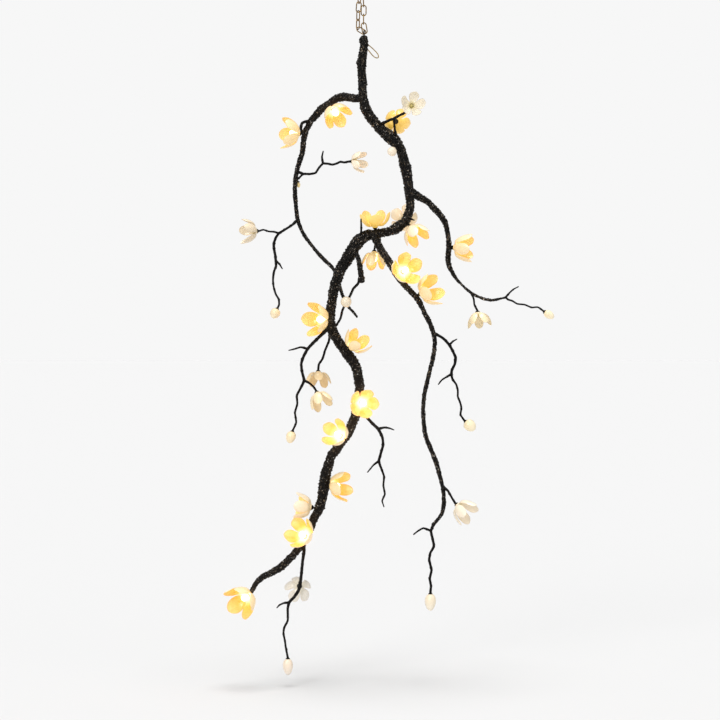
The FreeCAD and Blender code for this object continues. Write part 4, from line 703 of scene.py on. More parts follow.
def twig_material():
    m = Mat("black_twig_metal")
    relief = m.attr("relief")
    body = m.ramp(relief, [(0.1, (0.0014, 0.0012, 0.0011)), (0.7, (0.0035, 0.003, 0.0026)), (1.0, (0.022, 0.016, 0.011))])
    fleck = m.span(m.noise(330, 2.0), 0.68, 0.76)
    m.base(m.mix(m.math("MULTIPLY", fleck, 0.35), body, (0.16, 0.115, 0.07)))
    m.set(metal=0.3, spec=0.16)
    m.rough(m.span(m.noise(300, 3.0), 0.3, 0.7, 0.3, 0.55))
    m.bump(m.noise(1100, 3.0), 0.4, 0.0003)
    return m.m


def brass_material(name="antique_brass", dark=0.0):
    m = Mat(name)
    tone = m.noise(160, 5.0, 0.6, 0.4)
    body = m.ramp(tone, [(0.25, (0.07, 0.036, 0.010)), (0.5, (0.28, 0.165, 0.045)), (0.74, (0.56, 0.36, 0.12))])
    spots = m.span(m.noise(620, 3.0), 0.62, 0.72)
    m.base(m.mix(m.math("MULTIPLY", spots, 0.7), body, (0.045, 0.028, 0.012)))
    m.set(metal=1.0)
    m.rough(m.span(m.noise(480, 4.0), 0.3, 0.7, 0.2, 0.42))
    m.bump(m.noise(1400, 2.0), 0.2, 0.0002)
    return m.m


def plain_material(name, low, high, metal=0.0, rough=(0.35, 0.55), scale=300, bump=0.15, spec=0.5):
    m = Mat(name)
    m.base(m.mix(m.noise(scale, 4.0), low, high))
    m.set(metal=metal, spec=spec)
    m.rough(m.span(m.noise(scale * 1.7, 3.0), 0.3, 0.7, *rough))
    m.bump(m.noise(scale * 4, 2.0), bump, 0.0002)
    return m.m


def porcelain(name, lit):
    """Thin glazed petals: tint per flower, thin tan rims, faint veins. For the lit flowers the tints and the more
    orange rims are painted lamp colour and the emission is painted lamp light on and through the petals; the cream ones
    faintly emit their tint as painted light.
    """
    m = Mat(name)
    tint = m.attr("tint", color=True)
    edge = m.attr("edge")
    vein = m.attr("vein")
    cloud = m.span(m.noise(60, 3.0), 0.3, 0.7, 0.0, 1.0)
    soft_ = m.mix(m.math("MULTIPLY", cloud, 0.06), tint, (0.80, 0.60, 0.36), "MIX")
    veined = m.mix(m.math("MULTIPLY", vein, 0.10 if lit else 0.16), soft_, (0.62, 0.42, 0.24))
    rim = m.math("MULTIPLY", m.span(edge, 0.66, 1.0), 0.75 if lit else 0.70, clamp=True)
    # painted lamp colour: the lit flowers get a more orange rim colour than the cream ones
    m.base(m.mix(rim, veined, (0.90, 0.52, 0.16) if lit else (0.62, 0.46, 0.28)))
    m.set(spec=0.45, coat=0.25, coat_rough=0.12)
    m.rough(m.span(m.noise(200, 2.0), 0.3, 0.7, 0.22, 0.34))
    m.bump(m.noise(90, 3.0), 0.08, 0.0006)
    if lit:
        # painted lamp light: the lit petals' emission colour paints the lamp's light on the inner faces and the light
        # shining through to the backs
        glow = m.attr("glow", color=True)
        m.link(glow, m.p.inputs["Emission Color"])
        m.set(emit=1.0)
    else:
        # painted light: the cream petals faintly emit their own tint, standing in for light through the thin porcelain
        m.link(tint, m.p.inputs["Emission Color"])
        m.set(emit=0.06)
    return m.m


def lamp_material():
    m = Mat("lamp_glass")
    m.base(m.mix(m.noise(140, 2.0), (0.95, 0.92, 0.85), (0.9, 0.85, 0.75)))
    m.link(m.mix(m.span(m.noise(60, 1.0), 0.3, 0.7), (1.0, 0.80, 0.50), (1.0, 0.83, 0.55)), m.p.inputs["Emission Color"])
    m.set(emit=5.0)
    m.rough(m.span(m.noise(300, 2.0), 0.3, 0.7, 0.3, 0.45))
    return m.m


BARK, TWIG, BRASS = bark_material(), twig_material(), brass_material()
LIT, CREAM, LAMP = porcelain("lit_porcelain", True), porcelain("cream_porcelain", False), lamp_material()
ZINC = plain_material("zinc_steel", (0.42, 0.43, 0.45), (0.62, 0.63, 0.64), 1.0, (0.28, 0.5), 240)
PLASTIC = plain_material("driver_plastic", (0.72, 0.72, 0.70), (0.80, 0.80, 0.78), 0.0, (0.45, 0.6), 500)
HOLDER = plain_material("holder_ceramic", (0.78, 0.74, 0.66), (0.86, 0.83, 0.76), 0.0, (0.5, 0.7), 420)
SILICONE = plain_material("harness_silicone", (0.66, 0.63, 0.58), (0.74, 0.71, 0.67), 0.0, (0.4, 0.55), 380)
GOLD = plain_material("gold_lead", (0.34, 0.22, 0.075), (0.62, 0.46, 0.20), 0.15, (0.35, 0.55), 900, 0.4)
STAMEN = plain_material("flower_centre", (0.60, 0.50, 0.15), (0.82, 0.74, 0.38), 0.0, (0.4, 0.6), 500)
EYE = plain_material("blackened_eye", (0.010, 0.008, 0.006), (0.05, 0.035, 0.02), 0.7, (0.28, 0.45), 300)

# ---------------------------------------------------------------- the lead: its route's own points
lead_curve = bpy.data.curves.new("lead_route", "CURVE")
lead_curve.dimensions = "3D"
lead_curve.resolution_u = 16
sp = lead_curve.splines.new("NURBS")
sp.points.add(len(LEAD) - 1)
for p, c in zip(sp.points, LEAD):
    p.co = (c[0] * MM, c[1] * MM, c[2] * MM, 1.0)
sp.order_u = 3
sp.use_endpoint_u = True
route = bpy.data.objects.new("lead_route", lead_curve)
scene.collection.objects.link(route)
bpy.context.view_layer.update()
route_mesh = bpy.data.meshes.new_from_object(route)
lead_line = np.array([v.co for v in route_mesh.vertices], float) / MM
bpy.data.objects.remove(route)
bpy.data.meshes.remove(route_mesh)
if np.linalg.norm(lead_line[0] - LEAD[0]) > np.linalg.norm(lead_line[-1] - LEAD[0]):
    lead_line = lead_line[::-1]
seg = np.linalg.norm(np.diff(lead_line, axis=0), axis=1)
s = np.concatenate([[0], np.cumsum(seg)])
lead_length = float(s[-1])
at = np.linspace(0, lead_length, int(lead_length / 0.55))
line = np.stack([np.interp(at, s, lead_line[:, k]) for k in range(3)] + [0 * at], 1)
t, n, b = frames(line)
cord = Build()
ang = np.arange(10) * 2 * math.pi / 10
for k in range(3):
    turn = at * 2 * math.pi / 9.0 + k * 2 * math.pi / 3
    centre = line[:, :3] + 0.78 * (np.cos(turn)[:, None] * n + np.sin(turn)[:, None] * b)
    rings = centre[:, None] + 0.74 * (np.cos(ang)[None, :, None] * n[:, None] + np.sin(ang)[None, :, None] * b[:, None])
    faces = grid_faces(len(centre), 10)
    e = (len(centre) - 1) * 10
    faces += [tuple(range(9, -1, -1)), tuple(range(e, e + 10))]
    cord.add(rings.reshape(-1, 3), faces)
lead = cord.object("lead_cord", [GOLD])
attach(lead, "branches")
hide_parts("lead_loop")

# ---------------------------------------------------------------- limbs
LUMPS = {
    "trunk": [(-10.4, -3.0, -213.7, 7, 2.6), (-15.1, -3.0, -272.2, 6.5, 3.0), (-14.6, -5.0, -281.6, 6, 2.6), (-3.6, -6.0, -390.8, 7, 3.4), (92.0, -28.0, -460.9, 11, 4.5), (76.4, -35.0, -454.0, 8, 3.0), (97.3, -20.0, -478.1, 8, 3.0), (1.5, -10.0, -349.8, 9, 2.2), (133.5, -24.0, -553.6, 7, 2.0), (-16.6, -40.0, -792.4, 9, 3.0), (78.9, -40.0, -689.3, 8, 2.4), (-45.0, -30.0, -882.4, 8, 2.2), (-29.6, -20.0, -1234.2, 8, 2.6), (-60.7, -10.0, -1278.7, 7, 2.0)],
    "left_arm": [(-58.2, -4.0, -355.5, 8, 3.6), (-79.0, -4.0, -387.9, 6, 2.6), (-141.4, 0.0, -423.8, 6, 1.8)],
    "right_branch": [(174.5, 0.0, -626.6, 5.5, 4.0), (171.9, 0.0, -637.0, 5, 2.0)],
}
trunk_nodes = ["stem", "right_arm", "middle_trunk", "lower_trunk", "trunk_end"]
trunk_points = []
cuts = [0]
for name in trunk_nodes:
    pts = LIMBS[name]
    trunk_points += pts if not trunk_points else pts[1:]
    cuts.append(len(trunk_points) - 1)
step = 1.25
pos, relief, at, marks, path, tang = limb_surface(trunk_points, 1, step, 64, lumps=LUMPS["trunk"])
whole_v, whole_f = pos.reshape(-1, 3), grid_faces(len(pos), 64)
ref = bpy.data.meshes.new("whole")
ref.from_pydata((whole_v * MM).tolist(), [], whole_f)
ref.update()
vn = np.zeros(len(ref.vertices) * 3, np.float32)
ref.vertex_normals.foreach_get("vector", vn)
vn = vn.reshape(len(pos), 64, 3)
bpy.data.meshes.remove(ref)
for k, name in enumerate(trunk_nodes):
    i0 = 0 if k == 0 else int(np.argmin(abs(at - marks[cuts[k]])))
    i1 = len(at) - 1 if k == len(trunk_nodes) - 1 else int(np.argmin(abs(at - marks[cuts[k + 1]])))
    sl = slice(i0, i1 + 1)
    first, last = k == 0, k == len(trunk_nodes) - 1
    v, f, rel = close_ends(pos[sl], relief[sl], path[sl], tang[sl], first, last)
    ob = make_mesh(name + "_bark", v, f, {"relief": rel}, [BARK])
    nn = np.zeros(len(v) * 3, np.float32)
    ob.data.vertex_normals.foreach_get("vector", nn)
    nn = nn.reshape(-1, 3).copy()
    lead_rings = 4 if first else 0
    body = vn[sl].reshape(-1, 3)
    keep0 = lead_rings * 64
    nn[keep0:keep0 + len(body)] = body
    ob.data.normals_split_custom_set_from_vertices(nn)
    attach(ob, "branches")
    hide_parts(name)

for k, name in enumerate(["left_arm", "right_branch", "lower_right_branch", "stub_branch"]):
    pts = LIMBS[name]
    big = max(p[3] for p in pts)
    around = 52 if big > 8 else 40
    pos, relief, at, marks, path, tang = limb_surface(pts, 3 + k, 1.2, around, lumps=LUMPS.get(name, ()), flare=0.12)
    v, f, rel = close_ends(pos, relief, path, tang)
    ob = make_mesh(name + "_bark", v, f, {"relief": rel}, [BARK])
    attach(ob, "branches")
    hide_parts(name)

# ---------------------------------------------------------------- twigs
count = 0
SECOND_ROOTS = {"left_arm_twigs": [("left_arm", [(-179.2, 88.6, -567.3, 3.4), (-171.1, 82, -565.0, 2.9), (-163.0, 75.5, -558.0, 2.6), (-155.5, 71, -554.5, 2.5)])]}
for name, runs in TWIGS.items():
    out = Build()
    for carrier, pts in list(runs) + SECOND_ROOTS.get(name, []):
        count += 1
        big = max(p[3] for p in pts)
        pos, relief, at, marks, path, tang = limb_surface(pts, 40 + count, 0.9, 20, flare=0.30, soft=0.62, twiggy=True)
        v, f, rel = close_ends(pos, relief, path, tang, dome=0.7)
        out.add(v, f, relief=rel)
    ob = out.object(name + "_wood", [TWIG])
    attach(ob, "branches")
    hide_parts(name)


def nearest(base):
    """The nearest point of any limb's or twig's centre line: the distance to its surface and the point."""
    p, best = np.array(base, float), None
    for line_ in list(LIMBS.values()) + [l for runs in TWIGS.values() for _c, l in runs]:
        for a, c in zip(line_, line_[1:]):
            va, vb = np.array(a[:3], float), np.array(c[:3], float)
            ab = vb - va
            k = max(0.0, min(1.0, (p - va).dot(ab) / ab.dot(ab)))
            q = va + ab * k
            r = a[3] + k * (c[3] - a[3])
            gap = np.linalg.norm(p - q) - r
            if best is None or gap < best[0]:
                best = (gap, q, r)
    return best


# ---------------------------------------------------------------- calyx cups and stalks
def cup_warp(number):
    own = np.random.RandomState(900 + number)
    ph, lobes = own.uniform(0, 6.28), 5
    amp = own.uniform(0.8, 1.2)

    def warp(r, z, ang, k):
        lift = np.clip(z / 8.6, 0, 1) ** 2
        rr = r * (1 + 0.035 * amp * np.cos(lobes * (ang - ph)) * lift + 0.02 * np.cos(11 * ang + ph) * np.clip(z / 5, 0, 1))
        zz = z + (0.85 * amp * np.cos(lobes * (ang - ph)) - 0.4) * np.clip((z - 5.0) / 3.6, 0, 1)
        return rr, zz
    return warp


def stalk(q, base, r0, r1, number):
    """A short twig from a carrier's centre line to a flower's base."""
    q, base = np.array(q, float), np.array(base, float)
    away = base - q
    length = np.linalg.norm(away)
    own = np.random.RandomState(300 + number)
    side = np.cross(away, own.normal(size=3))
    side = side / np.linalg.norm(side) * min(1.2, length * 0.05)
    pts = [tuple(q) + (r0,), tuple(q + away * 0.55 + side) + ((r0 + r1) / 2,), tuple(base + away / length * 0.6) + (r1,)]
    pos, relief, at, marks, path, tang = limb_surface(pts, 200 + number, 0.9, 20, flare=0.25, twiggy=True)
    return close_ends(pos, relief, path, tang)


cups = Build()
for number, (name, base, axis, radius, height, lit) in enumerate(FLOWERS):
    place = placed(base, axis)
    prof = [(0, 0), (2.0, 0), (2.9, 0.3), (4.6, 1.9), (5.9, 3.8), (6.6, 5.6), (7.1, 7.4), (7.3, 8.5), (6.9, 8.75), (6.4, 8.2), (5.9, 6.6), (5.1, 4.9), (3.6, 3.5), (2.4, 3.0), (0, 3.0)]
    v, f = turned(prof, 40, cup_warp(number))
    cups.add(put(v, place), f, relief=0.35 + 0.5 * np.clip(v[:, 2] / 9, 0, 1) ** 3)
    gap, q, r = nearest(base)
    if gap > -1.0 and np.linalg.norm(np.array(base) - q) > 2.0:
        v, f, rel = stalk(q, base, 3.2, 2.6, number)
        cups.add(v, f, relief=rel)
for number, (name, base, axis, radius, length) in enumerate(BUDS):
    place = placed(base, axis)
    prof = [(0, 0), (2.4, 0), (3.3, 0.4), (4.6, 1.4), (5.35, 2.5), (5.55, 3.3), (5.2, 3.5), (4.75, 3.1), (4.0, 2.5), (2.2, 1.8), (0, 1.8)]
    v, f = turned(prof, 32, lambda r, z, ang, k: (r * (1 + 0.03 * np.cos(4 * ang)), np.full(len(ang), z) + 0.35 * np.cos(4 * ang) * (z > 2.4)))
    cups.add(put(v, place), f, relief=0.35 + 0.4 * np.clip(v[:, 2] / 3.5, 0, 1) ** 2)
    gap, q, r = nearest(base)
    if gap > -1.0 and np.linalg.norm(np.array(base) - q) > 2.0:
        v, f, rel = stalk(q, base, 3.0, 2.4, 50 + number)
        cups.add(v, f, relief=rel)
ob = cups.object("calyx_cups_and_stalks", [TWIG])
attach(ob, "branches")
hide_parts("calyx_cups")

# ---------------------------------------------------------------- petals
A_T = [(0.25, 0.38, 0.10), (0.5, 0.72, 0.34), (0.75, 0.93, 0.66), (1.0, 1.0, 1.0)]


def petal_line(R, h, n=27, start=((5.5, 6.4), (6.6, 9.4))):
    """The petal's middle line in its own plane: (r, z) at n places, close together near the tip."""
    pts = [(r, 0, z, 0) for r, z in start] + [(8.6 + a * (R - 8.6), 0, 8.2 + b * (h - 8.2), 0) for _t, a, b in A_T]
    dense, at, _ = spline(pts, 0.4)
    L = at[-1]
    tau = np.linspace(0, 1, n)
    t = np.sin(tau * math.pi / 2) ** 1.0
    x = np.interp(t * L, at, dense[:, 0])
    z = np.interp(t * L, at, dense[:, 2])
    return t, x, z, L


def petal_mesh(R, h, own, broad=0.36, ns=19, sunk=0.0, tip=0.0):
    """One petal in the flower's frame, pointing along +X: vertices, faces and its attributes."""
    Rj = R * (1 + own.uniform(-0.05, 0.03))
    hj = h * (1 + own.uniform(-0.06, 0.03))
    t, x, z, L = petal_line(Rj, hj)
    nt = len(t)
    W = broad * R * (1 + own.uniform(-0.06, 0.08))
    peak = 0.60
    body = np.where(t < peak, 0.20 + 0.80 * smooth(t, -0.16, peak) ** 0.8, np.sqrt(np.clip(1 - (np.clip((t - peak) / (1 - peak), 0, 1)) ** 2.5, 0, 1)))
    half = np.maximum(W * body, 0.02)
    half[0] = max(half[0], 2.6)
    dx, dz = np.gradient(x), np.gradient(z)
    m = np.hypot(dx, dz)
    nx, nz = dz / m, -dx / m                      # outward, away from the flower's axis
    sgrid = np.sin(np.linspace(-1, 1, ns) * math.pi / 2)
    S, T = np.meshgrid(sgrid, t)
    H = half[:, None]
    ph1, ph2 = own.uniform(0, 6.28, 2)
    cup = (0.30 + 0.10 * (1 - T)) * H * S**2
    wave = 0.9 * np.abs(S) ** 3 * np.sin(6.28 * (1.35 * T) + ph1 + np.sign(S) * ph2) * smooth(T, 0.25, 0.6)
    crease = 0.5 * np.exp(-((S / 0.10) ** 2)) * smooth(T, 0.05, 0.3) * (1 - smooth(T, 0.75, 1.0))
    ribs = 0.10 * np.cos(S * 18 + 2 * np.sin(3 * T + ph1)) * (1 - S**2) * (1 - smooth(T, 0.8, 1.0))
    curl = (own.uniform(-0.5, 2.2) + tip) * smooth(T, 0.72, 1.0) ** 1.5 * L / 60
    lean = own.uniform(-1.0, 1.0) * 1.6 * T**2
    off = -cup - wave + crease + ribs + curl - sunk * smooth(T, 0.04, 0.35)
    roll = own.uniform(-0.12, 0.12) * S * H * smooth(T, 0.3, 1.0)
    mid_x = x[:, None] + nx[:, None] * (off + roll + 0.9)
    mid_z = z[:, None] + nz[:, None] * (off + roll + 0.9)
    mid_y = S * H + lean
    mid = np.stack([mid_x, mid_y, mid_z], 2)
    # surface normals of the middle surface
    du = np.gradient(mid, axis=0)
    dv = np.gradient(mid, axis=1)
    nrm = np.cross(du, dv)
    nrm /= np.maximum(np.linalg.norm(nrm, axis=2), 1e-9)[..., None]
    out_dir = np.stack([np.repeat(nx[:, None], ns, 1), 0 * S, np.repeat(nz[:, None], ns, 1)], 2)
    nrm *= np.sign((nrm * out_dir).sum(2))[..., None]
    nrm[-1] = nrm[-2]
    edge = np.clip(np.maximum(np.abs(S) ** 3, smooth(T, 0.9, 1.0) * 0 + T**14), 0, 1)
    thick = 0.95 * (1 - 0.40 * T) * np.sqrt(np.clip(1 - np.abs(S) ** 5, 0.05, 1)) * np.sqrt(np.clip(1 - T**22, 0.05, 1))
    inner = mid - nrm * thick[..., None]
    outer = mid + nrm * thick[..., None]
    vi, vo = inner.reshape(-1, 3), outer.reshape(-1, 3)
    k = nt * ns
    faces = []
    for i in range(nt - 1):
        for j in range(ns - 1):
            a, b_, c, d = i * ns + j, i * ns + j + 1, (i + 1) * ns + j + 1, (i + 1) * ns + j
            faces.append((a, b_, c, d))
            faces.append((k + d, k + c, k + b_, k + a))
    loop = [i * ns for i in range(nt)] + [(nt - 1) * ns + j for j in range(1, ns)] + [i * ns + ns - 1 for i in range(nt - 2, -1, -1)] + [j for j in range(ns - 2, 0, -1)]
    for a, b_ in zip(loop, loop[1:] + loop[:1]):
        faces.append((a, a + k, b_ + k, b_))
    verts = np.vstack([vi, vo])
    side = np.concatenate([np.zeros(k), np.ones(k)])
    vein = np.clip(np.abs(np.cos(S * 13 + 1.5 * np.sin(2.2 * T + ph2))) ** 14 * (1 - T**3) * smooth(T, 0.05, 0.2), 0, 1).ravel()
    attrs = {"edge": np.tile(edge.ravel(), 2), "vein": np.tile(vein, 2), "side": side, "along": np.tile(T.ravel(), 2)}
    return verts, faces, attrs


def spin(v, deg):
    a = math.radians(deg)
    m = np.array([[math.cos(a), -math.sin(a), 0], [math.sin(a), math.cos(a), 0], [0, 0, 1]])
    return v @ m.T


LAMP_C = np.array([0, 0, 24.5])
TINTS = {
    "unlit_gg": (0.88, 0.82, 0.70), "unlit_l1": (1.0, 0.87, 0.68), "unlit_m": (0.80, 0.68, 0.50), "unlit_pendant": (0.90, 0.76, 0.50),
    "unlit_u": (0.90, 0.68, 0.38), "unlit_s": (0.90, 0.74, 0.47), "unlit_l": (0.92, 0.82, 0.66), "unlit_ff": (0.84, 0.79, 0.70),
}
# how golden each lit flower's backs are painted, as painted lamp light shining through the petals: 0 pale peach, 1 gold
PAINTED_BACK_WARMTH = {"flower_hh": 0.95, "flower_jj": 1.0, "flower_ll": 0.12, "flower_aa": 0.12, "flower_mm": 0.15, "flower_nn": 0.5, "flower_v": 0.4, "flower_z": 0.45,
        "flower_oo": 0.5, "flower_j": 0.35, "flower_f1": 0.5, "flower_f2": 0.5, "flower_q": 0.6}
# how far from the lamp each flower's painted white-hot middle reaches, in mm: a painted pool of lamp light on the
# petals
PAINTED_HOT_REACH = {"flower_y": 16.6, "flower_q": 16.2, "flower_bb": 16.6, "flower_cc": 16.6}
# flowers turned about their own axis so that a gap between petals faces the front
GAP = ("flower_f1", "flower_q", "flower_f2", "flower_cc")
FACE = ("flower_mm", "flower_oo", "flower_j", "flower_v", "flower_z", "flower_jj")
flower_build = {}
for number, (name, base, axis, radius, height, lit) in enumerate(FLOWERS):
    place = placed(base, axis)
    own = np.random.RandomState(1000 + number)
    out = Build()
    turn = (number * 37) % 72
    if name in GAP or name in FACE:
        front = placed((0, 0, 0), axis)[0].T @ np.array([0.0, -1.0, 0.0])
        turn = (math.degrees(math.atan2(front[1], front[0])) + (36 if name in GAP else 8)) % 72
    for i in range(5):
        v, f, at_ = petal_mesh(radius, height, own, broad=0.44 if lit else 0.40, sunk=1.1 if i in (1, 3) else -0.5)
        v = spin(v, turn + 72 * i + own.uniform(-4, 4))
        n_v = len(v)
        side, along = at_["side"], at_["along"]
        if lit:
            d = np.linalg.norm(v - LAMP_C, axis=1)
            warm = np.clip(PAINTED_BACK_WARMTH.get(name, 0.45) + 0.30 * (0.5 - along), 0, 1)[:, None]
            # painted lamp light as emission colour: a white-hot middle near the lamp, a warm falloff further out, less
            # green towards the rims, and a golden shine-through on the backs
            near = np.exp(-(np.maximum(d - PAINTED_HOT_REACH.get(name, 14.5), 0) / 6.0) ** 2)
            painted_lamp_falloff = np.exp(-(np.maximum(d - 10, 0) / 20.0) ** 2)
            line = 1 - 0.55 * at_["edge"] ** 1.5
            painted_glow_inside = np.stack([0.12 + 0.24 * painted_lamp_falloff + 0.9 * near, (0.055 + 0.075 * painted_lamp_falloff) * line + 0.98 * near, 0.004 + 0.9 * near], 1)
            painted_glow_through = np.array([0.14, 0.10, 0.045]) * (1 - warm) + np.array([0.36, 0.215, 0.02]) * warm
            glow = painted_glow_inside * (1 - side[:, None]) + painted_glow_through * side[:, None]
            glow = np.concatenate([glow, np.ones((n_v, 1))], 1)
            # painted lamp colour: the lit petals' base colour is a lit copy of the porcelain, orange inside near the
            # lamp and paler towards the tips, and golden on the backs
            painted_lit_tint_back = np.array([0.88, 0.76, 0.60]) * (1 - warm) + np.array([0.76, 0.50, 0.13]) * warm
            far = smooth(along, 0.30, 0.95)[:, None]
            painted_lit_tint_inside = np.array([0.86, 0.45, 0.05]) * (1 - far) + np.array([0.90, 0.64, 0.26]) * far
            tint = painted_lit_tint_inside * (1 - side[:, None]) + painted_lit_tint_back * side[:, None]
            tint = np.concatenate([tint, np.ones((n_v, 1))], 1)
            out.add(put(v, place), f, edge=at_["edge"], vein=at_["vein"], tint=tint, glow=glow)
        else:
            tint = np.zeros((n_v, 4)) + np.array([*TINTS[name], 1])
            deep = (0.55 * np.clip(1 - along * 2.4, 0, 1) * (1 - 0.6 * side))[:, None]
            tint[:, :3] = tint[:, :3] * (1 - deep) + np.array([0.80, 0.68, 0.32]) * deep
            out.add(put(v, place), f, edge=at_["edge"], vein=at_["vein"], tint=tint)
    flower_build[name] = (out, place, own)

for name, (out, place, own) in flower_build.items():
    if name.startswith("flower_"):
        ob = out.object(name + "_petals", [LIT])
        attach(ob, "branches")
        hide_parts(name)

GROUPED = {
    "unlit_flowers_upper": ["unlit_gg", "unlit_l1", "unlit_m"],
    "unlit_flowers_right": ["unlit_pendant", "unlit_l"],
    "unlit_flowers_lower": ["unlit_u", "unlit_s", "unlit_ff"],
}
for group, members in GROUPED.items():
    for k, name in enumerate(members):
        out, place, own = flower_build[name]
        # centre: a low boss with a carpel cone and stamens
        v, f = turned([(0, 3), (4.2, 3), (4.6, 6), (4.0, 8.2), (2.6, 9.4), (2.3, 12.5), (1.5, 15.5), (0.6, 17.6), (0, 18)], 20)
        out.add(put(v, place), f, mat=1)
        for j in range(16):
            a = j * 2 * math.pi / 16 + own.uniform(-0.15, 0.15)
            rad, top = own.uniform(5.6, 8.6), own.uniform(14.5, 19.0)
            pts = [(3.6 * math.cos(a), 3.6 * math.sin(a), 7.4, 0.42), (rad * 0.75 * math.cos(a), rad * 0.75 * math.sin(a), 11, 0.36), (rad * math.cos(a), rad * math.sin(a), top, 0.34)]
            pos, relief, at, marks, path, tang = limb_surface(pts, 500 + j, 0.9, 8, twiggy=True, rough=0.2)
            v, f, rel = close_ends(pos, relief, path, tang)
            out.add(put(v, place), f, mat=1)
            v, f = turned([(0, -1.1), (0.55, -0.8), (0.8, 0), (0.6, 0.8), (0, 1.1)], 10)
            out.add(put(v + np.array([rad * math.cos(a), rad * math.sin(a), top]), place), f, mat=1)
        ob = out.object(name + "_bloom", [CREAM, STAMEN])
        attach(ob, "branches")
        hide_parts(group)

# ---------------------------------------------------------------- buds: closed, three petals wrapped round each other
BUD_TINT = [(0.95, 0.78, 0.40), (0.86, 0.76, 0.62), (0.80, 0.70, 0.54), (0.90, 0.80, 0.58), (0.90, 0.76, 0.52), (0.90, 0.80, 0.58), (0.90, 0.76, 0.52), (0.88, 0.80, 0.66), (0.87, 0.77, 0.67)]
for number, (name, base, axis, radius, length) in enumerate(BUDS):
    own = np.random.RandomState(700 + number)
    place = placed(base, axis)
    nt, na = 40, 60
    ang = np.arange(na) * 2 * math.pi / na
    verts, tint, edge = [], [], []
    ph = own.uniform(0, 6.28)
    tl = 0.012 + 0.976 * (np.arange(nt) / (nt - 1))
    for t_ in tl:
        r = radius * math.sin(math.pi * t_**0.86)
        z = 3.0 + (length - 3.0) * (0.5 - 0.5 * math.cos(math.pi * t_))
        swirl = ang - ph + 0.9 * t_ + 0.5 * math.sin(3.0 * t_)
        saw = (swirl * 3 / (2 * math.pi)) % 1.0
        lap = smooth(saw, 0.0, 0.10) * (1 - 0.75 * saw)
        fade = math.sin(math.pi * min(1, t_ * 1.02)) ** 0.5 if t_ < 0.98 else 0.1
        rr = r * (0.965 + 0.055 * lap * fade) - 0.02 * radius * np.exp(-((saw - 0.02) / 0.03) ** 2) * fade
        verts.append(np.stack([rr * np.cos(ang), rr * np.sin(ang), np.full(na, z)], 1))
        edge.append(np.exp(-((np.minimum(saw, 1 - saw)) / 0.05) ** 2) * 1.0)
    v = np.array(verts)
    faces = grid_faces(nt, na)
    vv = v.reshape(-1, 3)
    faces += [(len(vv), (j + 1) % na, j) for j in range(na)]
    vv = np.vstack([vv, [0, 0, 3.0]])
    top = (nt - 1) * na
    faces += [(len(vv), top + j, top + (j + 1) % na) for j in range(na)]
    vv = np.vstack([vv, [0, 0, length - 0.02]])
    ed = np.append(np.array(edge).ravel(), [0, 0])
    warm = np.clip(1 - vv[:, 2] / length, 0, 1)[:, None]
    base_t = np.array(BUD_TINT[number])
    tc = base_t * (1 - 0.18 * warm * np.array([0.1, 0.5, 1.2]))
    tc = np.concatenate([tc, np.ones((len(vv), 1))], 1)
    ob = make_mesh(name, put(vv, place), faces, {"edge": ed * 0.92, "vein": 0.3 * ed, "tint": tc}, [CREAM])
    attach(ob, "branches")
    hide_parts("flower_buds")

# ---------------------------------------------------------------- lamps and their holders
lamps, holders = Build(), Build()
globe = [(0, 11.7), (3.2, 11.7), (3.5, 12.3), (3.5, 14.6), (4.0, 16.2), (5.4, 18.0)]
globe += [(8.0 * math.sin(a), 24.5 - 8.0 * math.cos(a)) for a in np.linspace(0.82, 3.10, 15)] + [(0, 32.5)]
for number, (name, base, axis, radius, height, lit) in enumerate(FLOWERS):
    if not lit:
        continue
    place = placed(base, axis)
    v, f = turned(globe, 28)
    lamps.add(put(v, place), f)
    v, f = turned([(0, 3.0), (2.3, 3.0), (3.0, 3.6), (4.1, 4.9), (4.35, 5.6), (4.35, 7.2), (4.15, 7.4), (4.15, 7.9), (4.35, 8.1), (4.35, 10.9), (4.1, 11.35), (3.6, 11.5), (0, 11.5)], 28)
    holders.add(put(v, place), f)
ob = lamps.object("lamp_globes", [LAMP])
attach(ob, "branches")
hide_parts("led_lamps")
ob = holders.object("lamp_sockets", [HOLDER])
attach(ob, "branches")
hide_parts("lamp_holders")


# ---------------------------------------------------------------- finishes of the pieces that stay as they are
def finish_as(node, mat, slot):
    ob = nodes[node]
    ob.data.materials.clear()
    ob.data.materials.append(mat)
    for p in ob.data.polygons:
        p.use_smooth = True


for node in ("ceiling_canopy", "canopy_loop", "top_ring", "threaded_nipple", "nipple_nuts", "chain_left_strand", "chain_right_strand"):
    finish_as(node, BRASS, "antique_brass")
finish_as("mounting_bar", ZINC, "zinc_steel")
finish_as("led_driver", PLASTIC, "driver_plastic")
finish_as("wiring_harness", SILICONE, "harness_silicone")
for node in ("stem_eye", "upper_gland", "lower_gland"):
    finish_as(node, EYE, "black_twig_metal")

# ---------------------------------------------------------------- plain pale floor and soft light
size = 2500.0
me = bpy.data.meshes.new("floor")
n_f = 10
xs = np.concatenate([-np.geomspace(size, 2, n_f), np.geomspace(2, size, n_f)])
fv = [(x, y, FLOOR_Z) for y in xs for x in xs]
ff = [(j * 20 + i, j * 20 + i + 1, (j + 1) * 20 + i + 1, (j + 1) * 20 + i) for j in range(19) for i in range(19)]
me.from_pydata(fv, [], ff)
me.update()
floor = bpy.data.objects.new("floor", me)
scene.collection.objects.link(floor)

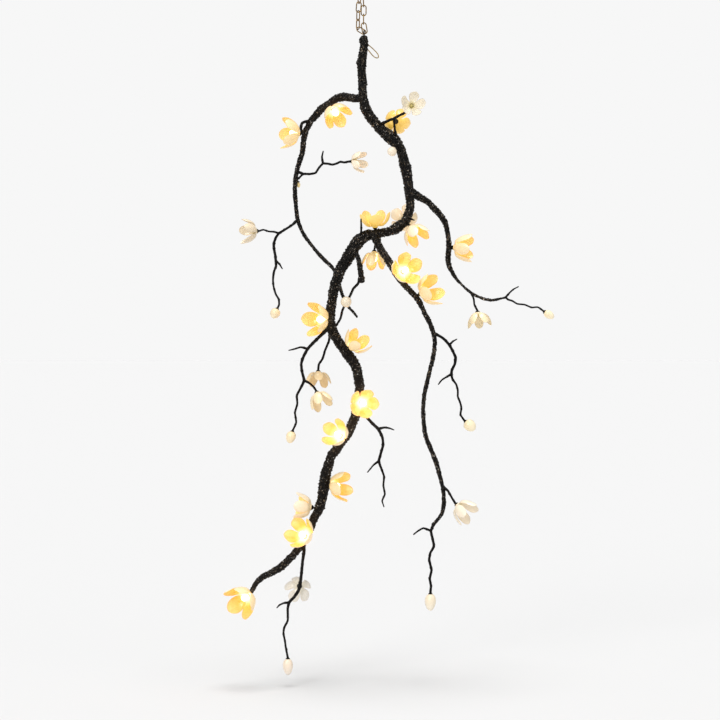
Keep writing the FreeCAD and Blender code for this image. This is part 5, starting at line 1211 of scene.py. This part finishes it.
SKY = 0.40
SUNS = [("key", -28, 64, 26, 1.2, (1, 1, 1)), ("fill", 40, 60, 50, 0.45, (1, 1, 1)), ("top", 10, 4, 34, 2.1, (1, 1, 1))]
FLOOR_ALBEDO = 0.930 / (SKY + sum(e * math.cos(math.radians(el)) / math.pi for _n, az, el, ang, e, _c in SUNS))
fm = Mat("floor")
fm.base(fm.mix(fm.noise(3.0, 2.0), (FLOOR_ALBEDO,) * 3, (FLOOR_ALBEDO * 0.9985,) * 3))
fm.set(rough=1.0, spec=0.0)
floor.data.materials.append(fm.m)
print("floor albedo", FLOOR_ALBEDO)

for name, az, el, angle, energy, colour in SUNS:
    ld = bpy.data.lights.new(name, "SUN")
    ld.energy = energy
    ld.angle = math.radians(angle)
    ld.color = colour
    lo = bpy.data.objects.new(name, ld)
    scene.collection.objects.link(lo)
    a, e = math.radians(az), math.radians(el)          # el: degrees away from straight overhead, az 0: from the camera's side
    back = Vector((math.sin(a) * math.sin(e), -math.cos(a) * math.sin(e), math.cos(e)))
    lo.rotation_mode = "QUATERNION"
    lo.rotation_quaternion = back.to_track_quat("Z", "Y")

world = bpy.data.worlds.new("studio")
scene.world = world
world.use_nodes = True
wt = world.node_tree
wt.nodes.clear()
wo = wt.nodes.new("ShaderNodeOutputWorld")
lp = wt.nodes.new("ShaderNodeLightPath")
seen, light = wt.nodes.new("ShaderNodeBackground"), wt.nodes.new("ShaderNodeBackground")
seen.inputs[0].default_value = (0.930, 0.930, 0.930, 1)
seen.inputs[1].default_value = 1.0
light.inputs[0].default_value = (1, 1, 1, 1)
light.inputs[1].default_value = SKY
mx = wt.nodes.new("ShaderNodeMixShader")
wt.links.new(lp.outputs["Is Camera Ray"], mx.inputs[0])
wt.links.new(light.outputs[0], mx.inputs[1])
wt.links.new(seen.outputs[0], mx.inputs[2])
wt.links.new(mx.outputs[0], wo.inputs[0])

scene.view_settings.view_transform = "Standard"
scene.view_settings.look = "None"
scene.view_settings.exposure = 0.0
scene.view_settings.gamma = 1.0

scene.use_nodes = True
ct = scene.node_tree
ct.nodes.clear()
layers = ct.nodes.new("CompositorNodeRLayers")
bloom = ct.nodes.new("CompositorNodeGlare")
bloom.glare_type = "BLOOM"
bloom.quality = "HIGH"
for key, value in (("Threshold", 1.5), ("Smoothness", 0.1), ("Strength", 0.22), ("Saturation", 1.0), ("Size", 0.22)):
    bloom.inputs[key].default_value = value
shown = ct.nodes.new("CompositorNodeComposite")
ct.links.new(layers.outputs["Image"], bloom.inputs["Image"])
ct.links.new(bloom.outputs["Image"], shown.inputs["Image"])
